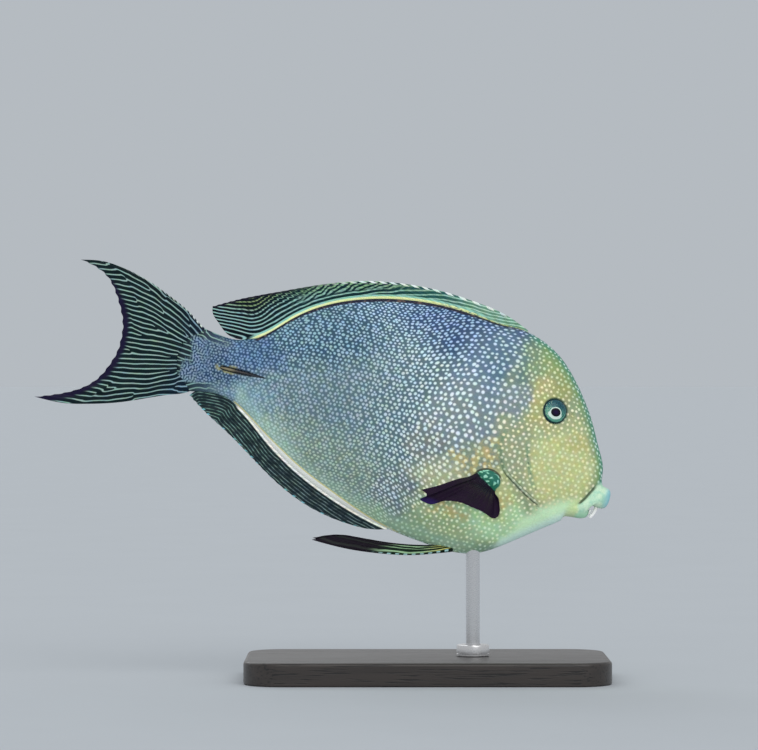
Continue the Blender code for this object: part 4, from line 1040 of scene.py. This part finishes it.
def fin_piece(name, patch, ray_at, finish, lines_from=(), swell=0.9, swell_run=0.22, spines=0,
              split=(0.45, 0.8), notch=0.03, wave=0.25, steps=46, per_ray=8, mirror=1):
    """A fin from its patch. ray_at gives the place of each ray across it. The first few are spines,
    and the others split in two between the shares of their length that split gives. The material
    reads (number of the ray, share along it, its slope) and the distance from up to three lines."""
    rays = len(ray_at)
    number = np.linspace(0, rays - 1, (rays - 1) * per_ray + 1)[:, None]
    across = np.interp(number, np.arange(rays), ray_at)
    along = (1 - (1 - np.linspace(0.0, 1.0, steps + 1)) ** 1.25)[None, :]
    across, along = np.broadcast_arrays(across, along)
    soft = smooth_step(number, spines - 0.6, spines - 0.4) if spines else 1.0 + 0 * number
    off_ray = np.abs(number - np.round(number))
    branch = soft * 0.21 * smooth_step(along, *split)
    twig = soft * 0.08 * smooth_step(along, split[1] - 0.1, 0.97)
    off_branch = np.abs(np.abs(off_ray - branch) - twig)
    thin = 0.15 - 0.07 * smooth_step(along, split[0], 1.0) * soft
    between = np.abs(np.sin(np.pi * number)) ** 1.5
    reach = along * (1 - notch * (1.5 - 0.5 * soft) * between)
    middle = patch(across, reach)
    normal = patch_normal(patch, across, np.clip(reach, 0.02, 0.98))
    ripple = np.sin(1.7 * number) + 0.8 * np.sin(0.37 * number + 1)
    middle = middle + normal * (wave * along ** 2 * ripple)[..., None]
    rib = RAY_AT_ROOT + (RAY_AT_TIP - RAY_AT_ROOT) * along
    flat = MEMBRANE + (rib - MEMBRANE) * ridge(off_branch, 0.0, thin)
    root = (swell(across) if callable(swell) else swell) * (1 - smooth_step(along, 0.0, swell_run))
    half = np.sqrt(flat ** 2 + root ** 2) * (1 - 0.65 * smooth_step(along, 0.95, 1.0))
    offset = normal * half[..., None]
    points = np.concatenate([middle + offset, (middle - offset)[:, ::-1]], axis=1) * (1, mirror, 1)
    reaches = [distance_to(middle[..., [0, 2]], line) for line in lines_from]
    reaches += [0 * along] * (3 - len(lines_from))
    run = np.gradient(middle, axis=1)
    lean = np.arctan2(-run[..., 2], -run[..., 0])
    facts = np.stack(np.broadcast_arrays(number, along, lean, *reaches), axis=-1)
    facts = np.concatenate([facts, facts[:, ::-1]], axis=1).reshape(-1, 6)
    faces, uv = tube(len(points), points.shape[1])
    return add_piece(name, points.reshape(-1, 3), faces, finish,
                     {"fin_place": facts[:, :3], "fin_reach": facts[:, 3:],
                      "fish_place": points.reshape(-1, 3)}, uv)


# The ribs of the rays and their fine cross joints, as relief.
ribs, given, result = new_group("ray_joints", {"Fin place": "Vector", "Joints": "Float"},
                                {"Height": "Float"})
number, along, _ = ribs.parts(given["Fin place"])
joint = ribs.calc("ABSOLUTE", ribs.calc("SINE", ribs.times(along, given["Joints"])))
off = ribs.saw(ribs.calc("ADD", number, 0.5))
ribs.set(result["Height"], ribs.times(ribs.step(off, 0.4, 0.1), ribs.step(joint, 0.0, 0.5)))


def fin_material(name):
    """A fin's material without its colour, the place on the fish, and what fin_piece gives it."""
    made, nodes = material(name, Specular_IOR_Level=0.14, Coat_Weight=0.02, Coat_Roughness=0.3)
    spot, fin_place = nodes.attribute("fish_place"), nodes.attribute("fin_place")
    nodes.finish(Roughness=nodes.spread(nodes.noise(spot, 0.8, 3.0), 0.38, 0.56))
    nodes.bump(nodes.use(ribs.tree, Fin_place=fin_place, Joints=90.0)["Height"], 0.06)
    return made, nodes, spot, nodes.parts(fin_place), nodes.parts(nodes.attribute("fin_reach"))


dorsal_finish, nodes, spot, (number, along, _), reaches = fin_material("dorsal_fin_skin")
reach, other_reach, edge_reach = reaches
fx, _, _ = nodes.parts(spot)

# Wavy lines run along the foot, closer together to the front, and kink at the rays near the
# margin. In mid-fin they give way to slanted strokes, and behind they break up into beads.
to_ray = nodes.saw(number)
near_margin = nodes.step(along, 0.45, 0.85)
kinked = nodes.times(near_margin, nodes.between(fx, 18.0, 34.0, 86.0, 66.0))
bent = nodes.times(nodes.calc("SUBTRACT", to_ray, 0.25), 1.7, kinked)
slant = nodes.times(nodes.calc("MAXIMUM", nodes.calc("SUBTRACT", fx, 62.0), 0.0), -0.075)
line_step = nodes.put("ShaderNodeMapRange", fx, 2.0, 27.0, 1.3, 1.8).outputs[0]
line_step = nodes.times(line_step, nodes.spread(nodes.step(fx, 92.0, 118.0), 1.0, 0.72))
from_foot = nodes.calc("SMOOTH_MIN", reach, other_reach, 3.0)
phase = nodes.calc("ADD", nodes.calc("ADD", nodes.calc("DIVIDE", from_foot, line_step), bent), slant)
mask = nodes.use(lines.tree, Phase=phase, Place=spot, Wobble=0.8, Fill=0.31)["Mask"]
strokes = nodes.calc("DIVIDE", nodes.calc("MULTIPLY_ADD", reach, -1.9, fx), 4.2)
strokes = nodes.calc("FRACT", nodes.calc("MULTIPLY_ADD", nodes.noise(spot, 0.2, 1.0), 2.0, strokes))
strokes = nodes.step(nodes.apart(strokes, 0.5), 0.20, 0.32)
in_middle = nodes.times(nodes.step(from_foot, 3.2, 4.6), nodes.between(fx, 34.0, 46.0, 86.0, 74.0))
mask = nodes.blend(in_middle, mask, strokes)
breaks = nodes.saw(nodes.times(number, 2.0))
beaded = nodes.times(nodes.step(from_foot, 6.0, 9.0), nodes.between(fx, 8.0, 18.0, 46.0, 36.0))
mask = nodes.times(mask, nodes.spread(nodes.times(nodes.step(breaks, 0.24, 0.38), beaded), 1.0, 0.3))

# Between the lines the fin is nearly black behind and grey-green in front. The lines are pale
# teal, and olive in the hind lobe.
dark = nodes.mix(nodes.step(fx, 12.0, 48.0), (0, 18, 28), (8, 44, 50))
dark = nodes.over(dark, (38, 86, 84), nodes.step(fx, 66.0, 96.0))
dark = nodes.over(dark, (104, 146, 124), nodes.step(fx, 94.0, 122.0))
pale = nodes.mix(nodes.step(fx, 20.0, 70.0), (144, 186, 182), (142, 188, 172))
pale = nodes.over(pale, (176, 214, 194), nodes.step(fx, 94.0, 116.0))
in_lobe = nodes.times(nodes.step(from_foot, 8.0, 13.0), nodes.step(fx, 74.0, 40.0))
pale = nodes.over(pale, (128, 148, 82), in_lobe, 0.8)
pale = nodes.over(pale, (128, 168, 132), near_margin, nodes.between(fx, 24.0, 40.0, 104.0, 80.0))
broken = nodes.times(nodes.step(to_ray, 0.28, 0.5), kinked, 0.8)
mask = nodes.times(mask, nodes.without(broken))
colour = nodes.mix(mask, dark, pale)

# Along the foot lie a teal rim and the cream line of the back. The margin is dark behind, with
# white flecks between the rays in front.
near_foot = nodes.step(fx, 20.0, 24.0)
colour = nodes.over(colour, (142, 196, 184), nodes.step(reach, 1.45, 1.15), near_foot,
                    nodes.step(fx, 128.0, 108.0))
cream = nodes.mix(nodes.step(fx, 104.0, 126.0), (224, 234, 178), (190, 200, 146))
colour = nodes.over(colour, cream, cream_line(nodes, spot, fx, reach, 0.62, 0.38), near_foot)
margin = nodes.step(edge_reach, 1.15, 0.6)
colour = nodes.over(colour, (24, 22, 40), margin, nodes.step(fx, 60.0, 20.0))
flecks = nodes.times(margin, nodes.step(to_ray, 0.21, 0.30), nodes.between(fx, 40.0, 66.0, 131.0, 120.0))
colour = nodes.over(colour, (232, 246, 238), flecks)
nodes.finish(Base_Color=drifting(nodes, colour, spot))

dorsal_first, dorsal_last = RING_AT["gill_edge"] + 0.5, RING_AT["tail_start"] + 2.0
patch, outer, _, line = middle_fin(dorsal_first, dorsal_last, BACK, 24, DORSAL_EDGE, DORSAL_REAR,
                                   DORSAL_LEAN)
rear_edge = np.array([line[-1] + (30.0, -0.6), line[-1] + (-40.0, 0.8)])
line = np.concatenate([line, [line[-1] + (line[-1] - line[-2]) * 20]])
ray_at = np.concatenate([np.linspace(0, DORSAL_SPLIT - 0.005, DORSAL_SPINES),
                         np.linspace(DORSAL_SPLIT + 0.02, 1.0, DORSAL_SOFT_RAYS)])
edge_line = outer(np.linspace(0, 1, 80))[:, [0, 2]]
dorsal = fin_piece("dorsal_fin", patch, ray_at, dorsal_finish, [line, rear_edge, edge_line],
                   spines=DORSAL_SPINES, notch=0.01)
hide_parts("dorsal_fin_spiny", "dorsal_fin_soft")


# Anal fin. Three spines and twenty-five soft rays in one membrane, made like the dorsal fin but
# lower and darker, with finer lines. Its foot is sunk in the skin of the belly.
ANAL_EDGE = [(99.0, -51.0), (90.9, -53.0), (80.9, -53.1), (67.0, -51.0), (52.1, -45.7),
             (36.4, -36.7), (20.4, -26.6), (9.0, -20.2), (1.6, -15.2)]
ANAL_REAR = [(20.0, -12.6), (15.5, -11.8), (8.0, -11.9), (3.6, -13.0)]
ANAL_RAYS = 28
ANAL_LEAN = 0.10

anal_finish, nodes, spot, (number, along, _), (reach, _, _) = fin_material("anal_fin_skin")
fx, _, _ = nodes.parts(spot)
mask = nodes.use(lines.tree, Phase=nodes.calc("DIVIDE", reach, 1.3), Place=spot, Wobble=1.1,
                 Fill=0.22)["Mask"]
patchy = nodes.step(nodes.noise(spot, 0.3, 3.0), 0.36, 0.62)
mask = nodes.times(mask, nodes.spread(patchy, 0.12, 0.9))
dark = nodes.mix(nodes.noise(spot, 0.3, 2.0), (10, 24, 34), (42, 58, 60))
pale = nodes.mix(nodes.step(fx, 60.0, 20.0), (120, 142, 142), (122, 160, 148))
colour = nodes.mix(mask, dark, pale)
white_foot = nodes.times(nodes.step(reach, 0.9, 0.5), nodes.between(fx, 21.0, 24.0, 104.0, 94.0))
colour = nodes.over(colour, (255, 255, 246), white_foot)
to_ray = nodes.saw(number)
flecks = nodes.times(nodes.step(along, 0.93, 0.97), nodes.step(to_ray, 0.3, 0.42),
                     nodes.step(nodes.noise(spot, 0.12, 1.0), 0.42, 0.52))
colour = nodes.over(colour, (120, 190, 200), flecks)
nodes.finish(Base_Color=drifting(nodes, colour, spot))

anal_first, anal_last = RING_AT["mid_flank"] - 3.5, RING_AT["tail_start"] + 2.0
patch, _, last_ray, line = middle_fin(anal_first, anal_last, BELLY, 20, ANAL_EDGE, ANAL_REAR, ANAL_LEAN)
line = np.concatenate([line, last_ray(np.linspace(0.1, 1, 16))[:, [0, 2]]])
anal = fin_piece("anal_fin_rays", patch, np.linspace(0, 1, ANAL_RAYS), anal_finish, [line], spines=3,
                 notch=0.014)
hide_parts("anal_fin")


# Tail fin. A fan of twenty branched rays between two long outer ones, with pale wavy lines along
# the rays that end at a dark hind margin.
LOWER_EDGE = [(1.2, -13.6), (-0.3, -14.5), (-6.5, -16.9), (-17.8, -21.5), (-29.1, -25.9), (-40.8, -29.2),
              (-49.6, -31.0), (-63.0, -31.3)]
UPPER_EDGE = [(1.2, 14.4), (-0.3, 15.2), (-5.8, 19.0), (-16.3, 24.3), (-26.7, 28.5), (-39.7, 31.6),
              (-48.0, 32.2), (-57.4, 30.6)]
HIND_EDGE = [(-63.0, -31.3), (-48.5, -25.4), (-41.5, -20.6), (-37.7, -15.9), (-34.6, -9.2), (-33.2, -4.5),
             (-32.8, 0.0), (-33.5, 7.7), (-36.3, 14.6), (-40.5, 21.6), (-44.8, 26.2), (-50.4, 29.0),
             (-57.4, 30.6)]
TAIL_RAYS = 22

tail_finish, nodes, spot, (number, along, slope), (reach, _, _) = fin_material("tail_fin_skin")
mask = nodes.use(tail_lines.tree, Place=spot, Slope=slope)["Mask"]
shade = nodes.noise(spot, 0.14, 2.0)
at_root = nodes.step(along, 0.4, 0.06)
dark = nodes.mix(at_root, nodes.mix(shade, (2, 16, 28), (14, 40, 40)), (10, 30, 44))
pale = nodes.mix(at_root, nodes.mix(shade, (118, 158, 162), (166, 194, 176)), (130, 162, 174))
_, _, fin_z = nodes.parts(spot)
from_hind = nodes.calc("MULTIPLY_ADD", nodes.step(fin_z, 17.0, 28.0), 2.4, reach)
hind = nodes.step(nodes.calc("MULTIPLY_ADD", nodes.calc("SUBTRACT", shade, 0.5), 3.0, from_hind), 3.6, 1.3)
colour = nodes.mix(nodes.times(mask, nodes.without(hind)), dark, pale)
colour = nodes.over(colour, (30, 22, 52), hind, 0.85)
leading = nodes.times(nodes.step(number, 20.4, 20.75), nodes.step(along, 0.75, 0.5))
flecks = nodes.step(nodes.calc("FRACT", nodes.times(along, 26.0)), 0.45, 0.55)
colour = nodes.over(colour, (206, 224, 216), leading, flecks)
nodes.finish(Base_Color=drifting(nodes, colour, spot))


def tail_swell(across):
    """Half the thickness of the flesh at the fin's foot, from edge to edge."""
    return 0.3 + 1.9 * np.sqrt(np.clip(1 - (2 * across - 1) ** 2, 0, 1))


foot = edge_curve(flat_points([LOWER_EDGE[0], UPPER_EDGE[0]]))
patch = fin_patch(foot, edge_curve(flat_points(HIND_EDGE)), edge_curve(flat_points(LOWER_EDGE)),
                  edge_curve(flat_points(UPPER_EDGE)))
hind_line = edge_curve(HIND_EDGE)(np.linspace(0, 1, 90))
tail = fin_piece("tail_fin", patch, np.linspace(0, 1, TAIL_RAYS), tail_finish, [hind_line],
                 swell=tail_swell, swell_run=0.24, split=(0.3, 0.62), notch=0.012, wave=0.3, steps=70)
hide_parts("tail_fin_upper_lobe", "tail_fin_lower_lobe")


# Pectoral fins. Broad dark blades held out from the body, each on a fleshy root with pale spots.
ROOT_TOP = (128.8, -19.4)
ROOT_LOW = (138.2, -25.2)
LONG_TIP = (106.9, 56.0, -30.0)
LONG_BENDS = [(125.0, 27.0, -21.2), (120.2, 37.5, -23.1), (114.4, 46.0, -26.4)]
SHORT_BEND = (140.6, 22.5, -27.6)
SHORT_TIP = (141.9, 27.0, -31.4)
BLADE_EDGE = [(109.4, 54.6, -32.0), (107.3, 55.0, -33.6), (109.8, 54.0, -34.8), (117.4, 48.0, -32.6),
              (126.9, 39.0, -32.0), (132.5, 34.0, -33.0), (137.4, 31.0, -34.6), (140.6, 29.0, -35.0),
              (141.8, 28.0, -33.6)]
PECTORAL_RAYS = 16

pectoral_finish, nodes, spot, (number, along, _), _ = fin_material("pectoral_fin_skin")
tint = nodes.noise(spot, 0.22, 3.0)
dark = nodes.mix(tint, (16, 5, 28), (38, 10, 46))
low_tip = in_oval(nodes, nodes.vector("MULTIPLY", spot, (1.0, 0.0, 1.0)), (109.0, -34.8), (8.0, 2.6))
dark = nodes.over(dark, (40, 26, 92), low_tip, 0.6)
fx, _, fz = nodes.parts(spot)
slant = nodes.calc("MULTIPLY_ADD", number, 0.006, 0.02)
on_root = nodes.step(nodes.calc("SUBTRACT", along, slant), 0.03, -0.03)
colour = nodes.mix(on_root, dark, pectoral_root(nodes, fx, fz))
nodes.finish(Base_Color=colour)


def off_skin(x, z, distance):
    point, outward, _ = skin_at(x, z)
    return point + outward * distance


root_middle = [(a + b) / 2 for a, b in zip(ROOT_TOP, ROOT_LOW)]
root_points = [off_skin(x, z, -0.6) for x, z in (ROOT_TOP, root_middle, ROOT_LOW)]
pectoral = fin_patch(edge_curve(root_points), edge_curve([LONG_TIP, *BLADE_EDGE, SHORT_TIP]),
                     edge_curve([root_points[0], *LONG_BENDS, LONG_TIP]),
                     edge_curve([root_points[2], SHORT_BEND, SHORT_TIP]))
for side, mirror in SIDES:
    fin = fin_piece(f"pectoral_blade_{side}", pectoral, np.linspace(0, 1, PECTORAL_RAYS), pectoral_finish,
                    swell=1.6, swell_run=0.3, split=(0.5, 0.8), notch=0.005, wave=0.2, mirror=mirror)
    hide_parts(f"pectoral_fin_{side}")


# Pelvic fins. One spine and five rays in a thin membrane each, folded back along the belly, with
# their feet sunk in its skin.
PELVIC_OUTER = [(127.2, 3.4, -53.3), (114.0, 6.2, -58.2), (97.0, 9.0, -61.6), (82.0, 9.6, -63.0),
                (67.4, 9.4, -62.8)]
PELVIC_INNER = [(121.2, 2.0, -53.2), (108.0, 2.6, -56.0), (91.0, 4.6, -57.6)]
PELVIC_EDGE = [(73.8, 7.6, -59.9), (81.5, 5.9, -58.2)]

pelvic_finish, nodes, spot, (number, along, _), _ = fin_material("pelvic_fin_skin")
mask = nodes.use(lines.tree, Phase=nodes.times(number, 0.62), Place=spot, Wobble=0.8, Fill=0.3)["Mask"]
tip = nodes.step(along, 0.45, 0.65)
colour = nodes.mix(mask, (14, 36, 26),
                   nodes.mix(nodes.step(along, 0.25, 0.0), (150, 186, 146), (206, 204, 116)))
colour = nodes.over(colour, (20, 8, 26), tip, 0.97)
flecks = nodes.times(nodes.step(number, 0.35, 0.1),
                     nodes.step(nodes.calc("FRACT", nodes.times(along, 17.0)), 0.5, 0.6))
colour = nodes.over(colour, (170, 216, 216), flecks, nodes.step(along, 0.6, 0.45))
nodes.finish(Base_Color=colour)

pelvic = fin_patch(edge_curve([PELVIC_OUTER[0], PELVIC_INNER[0]]),
                   edge_curve([PELVIC_OUTER[-1], *PELVIC_EDGE, PELVIC_INNER[-1]]),
                   edge_curve(PELVIC_OUTER), edge_curve(PELVIC_INNER))
for side, mirror in SIDES:
    fin = fin_piece(f"pelvic_blade_{side}", pelvic, np.linspace(0, 1, 6), pelvic_finish, swell=0.9,
                    spines=1, per_ray=20, notch=0.003, wave=0.12, mirror=mirror)
    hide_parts(f"pelvic_fin_{side}")


# Teeth. Rows of fine movable bristles of enamel, with spoon-shaped tips that bend inward. Their
# feet sit in the gums behind the lips.
UPPER_TEETH = 20
LOWER_TEETH = 16

tooth_finish, nodes = material("tooth_enamel", Coat_Weight=0.3, Coat_Roughness=0.1, Subsurface_Weight=0.0)
bristle = nodes.attribute("bristle_place")
grow, _, _ = nodes.parts(bristle)
enamel = nodes.mix(nodes.step(grow, 0.0, 0.4), (232, 232, 226), (254, 255, 255))
enamel = nodes.over(enamel, (224, 220, 206), nodes.noise(bristle, 9.0, 2.0), 0.2)
nodes.finish(Base_Color=enamel, Roughness=nodes.spread(nodes.noise(bristle, 5.0, 2.0), 0.22, 0.4))


def bristles(count, half_arc, front_x, curve, top, tip, bend, width):
    """A row of teeth from the height top to the height tip. Each is a tapered bar with a wider end."""
    points, faces, facts = [], [], []
    steps, sides = 12, 8
    share = np.linspace(0, 1, steps)[:, None]
    turn = np.linspace(0, 2 * math.pi, sides, endpoint=False)[None, :]
    spoon = 0.8 - 0.25 * share + 0.55 * smooth_step(share, 0.55, 0.85)
    half = width * spoon * np.sqrt(np.clip(1.02 - share ** 8, 0, 1))
    tube_of_tooth, _ = tube(steps, sides)
    for y in np.linspace(-half_arc, half_arc, count):
        x = front_x - y ** 2 / curve - bend * share ** 2
        z = top + (tip - top) * share
        ring = np.stack([x + 0.6 * half * np.cos(turn), y + half * np.sin(turn), z + 0 * turn], axis=-1)
        first = len(points) * steps * sides
        points.append(ring.reshape(-1, 3))
        facts.append(np.stack(np.broadcast_arrays(share, y + 0 * turn, 0.0), axis=-1).reshape(-1, 3))
        faces += [[first + k for k in face] for face in tube_of_tooth]
    return np.concatenate(points), faces, np.concatenate(facts)


upper = bristles(UPPER_TEETH, half_arc=3.2, front_x=183.6, curve=8.5, top=-21.0, tip=-26.4, bend=1.8,
                 width=0.26)
lower = bristles(LOWER_TEETH, half_arc=2.5, front_x=180.9, curve=8.0, top=-24.8, tip=-22.8, bend=-0.5,
                 width=0.2)
faces = upper[1] + [[k + len(upper[0]) for k in face] for face in lower[1]]
teeth = add_piece("bristles", np.concatenate([upper[0], lower[0]]), faces, tooth_finish,
                  {"bristle_place": np.concatenate([upper[2], lower[2]])})
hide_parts("bristle_teeth")


# Display base. A black-stained wooden block with round corners and eased edges. It lies on the
# floor and carries the collar.
BASE_TOP = 10.0
BASE_CORNER = 16.0
BASE_EASED = 1.5

wood_finish, nodes = material("stained_wood", Coat_Weight=0.25, Coat_Roughness=0.25)
where = nodes.put("ShaderNodeTexCoord").outputs["Object"]
grain_place = nodes.vector("MULTIPLY", where, (18.0, 260.0, 260.0))
grain_lines = nodes.noise(grain_place, 1.0, 5.0)
pores = nodes.step(nodes.noise(nodes.vector("MULTIPLY", where, (60.0, 1400.0, 1400.0)), 1.0, 2.0), 0.36,
                   0.46)
wood = nodes.mix(grain_lines, (30, 27, 26), (58, 52, 49))
wood = nodes.over(wood, (20, 18, 18), nodes.without(pores))
nodes.finish(Base_Color=wood, Roughness=nodes.spread(grain_lines, 0.32, 0.5))
nodes.bump(nodes.times(grain_lines, pores), 0.12)


def add_solid(name, points, faces, finish):
    """A piece of the stand from points in the model's frame, in millimetres."""
    mesh = bpy.data.meshes.new(name)
    mesh.from_pydata((np.asarray(points) * MM).tolist(), [], faces)
    piece = finished(name, mesh, finish, weld=1e-7)
    mesh.set_sharp_from_angle(angle=0.6)
    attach(piece, "root")
    return piece


def stacked(rings):
    """Faces between rings of points, with both ends closed."""
    count = len(rings[0])
    faces = [[r * count + k, r * count + (k + 1) % count, (r + 1) * count + (k + 1) % count,
              (r + 1) * count + k] for r in range(len(rings) - 1) for k in range(count)]
    ends = [list(range(first, first + count)) for first in (0, (len(rings) - 1) * count)]
    return np.concatenate(rings), faces + ends


low_corner, high_corner = [np.array(corner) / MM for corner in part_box("stand_base")]
base_middle = (low_corner + high_corner) / 2
half_length, half_depth, _ = (high_corner - low_corner) / 2
profile = [(0.6, 0.0), (0.0, 0.6)]
for t in np.linspace(0, math.pi / 2, 7):
    profile.append((BASE_EASED * (1 - math.cos(t)), BASE_TOP - BASE_EASED * (1 - math.sin(t))))
rings = []
for inset, height in profile:
    ring = []
    for k, (sx, sy) in enumerate(((1, 1), (-1, 1), (-1, -1), (1, -1))):
        corner_x = base_middle[0] + sx * (half_length - BASE_CORNER)
        corner_y = base_middle[1] + sy * (half_depth - BASE_CORNER)
        for t in np.linspace(0, math.pi / 2, 17) + math.pi / 2 * k:
            ring.append((corner_x + (BASE_CORNER - inset) * math.cos(t),
                         corner_y + (BASE_CORNER - inset) * math.sin(t), height))
    rings.append(np.array(ring))
board = add_solid("wooden_base", *stacked(rings), wood_finish)
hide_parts("stand_base")


# Rod and collar. A brushed steel rod that carries the fish from below. It is pressed into a
# turned steel collar with one fine groove.
STEEL_SIDES = 64
ROD_RADIUS = 3.0
COLLAR_RADIUS = 7.0

steel_finish, nodes = material("brushed_steel", Metallic=1.0)
where = nodes.put("ShaderNodeTexCoord").outputs["Object"]
brushed = nodes.noise(nodes.vector("MULTIPLY", where, (900.0, 900.0, 9000.0)), 1.0, 3.0)
nodes.finish(Base_Color=nodes.mix(brushed, (0.70, 0.70, 0.71, 1.0), (0.80, 0.80, 0.81, 1.0)),
             Roughness=nodes.spread(brushed, 0.2, 0.38))
nodes.bump(brushed, 0.004)


def turned(name, node, profile, finish):
    """A round piece about the upright middle of a node, from its (radius, height) profile."""
    low, high = [np.array(corner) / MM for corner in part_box(node)]
    x, y, _ = (low + high) / 2
    turn = np.linspace(0, 2 * math.pi, STEEL_SIDES, endpoint=False)
    rings = []
    for radius, height in profile(low[2], high[2]):
        ring = x + radius * np.cos(turn), y + radius * np.sin(turn), np.full(STEEL_SIDES, height)
        rings.append(np.stack(ring, axis=-1))
    piece = add_solid(name, *stacked(rings), finish)
    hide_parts(node)


def rod_profile(low, high):
    return [(ROD_RADIUS, low), (ROD_RADIUS, high - 0.4), (ROD_RADIUS - 0.4, high)]


def collar_profile(low, high):
    """Up the outside, past the groove, and over the top to the hole for the rod."""
    return [(COLLAR_RADIUS, low), (COLLAR_RADIUS, low + 0.8), (COLLAR_RADIUS - 0.3, low + 1.0),
            (COLLAR_RADIUS - 0.3, low + 1.3), (COLLAR_RADIUS, low + 1.5), (COLLAR_RADIUS, high - 0.7),
            (COLLAR_RADIUS - 0.2, high - 0.2), (COLLAR_RADIUS - 0.7, high), (ROD_RADIUS + 0.3, high),
            (ROD_RADIUS + 0.3, high - 0.6)]


turned("steel_rod", "stand_rod", rod_profile, steel_finish)
turned("steel_collar", "stand_collar", collar_profile, steel_finish)
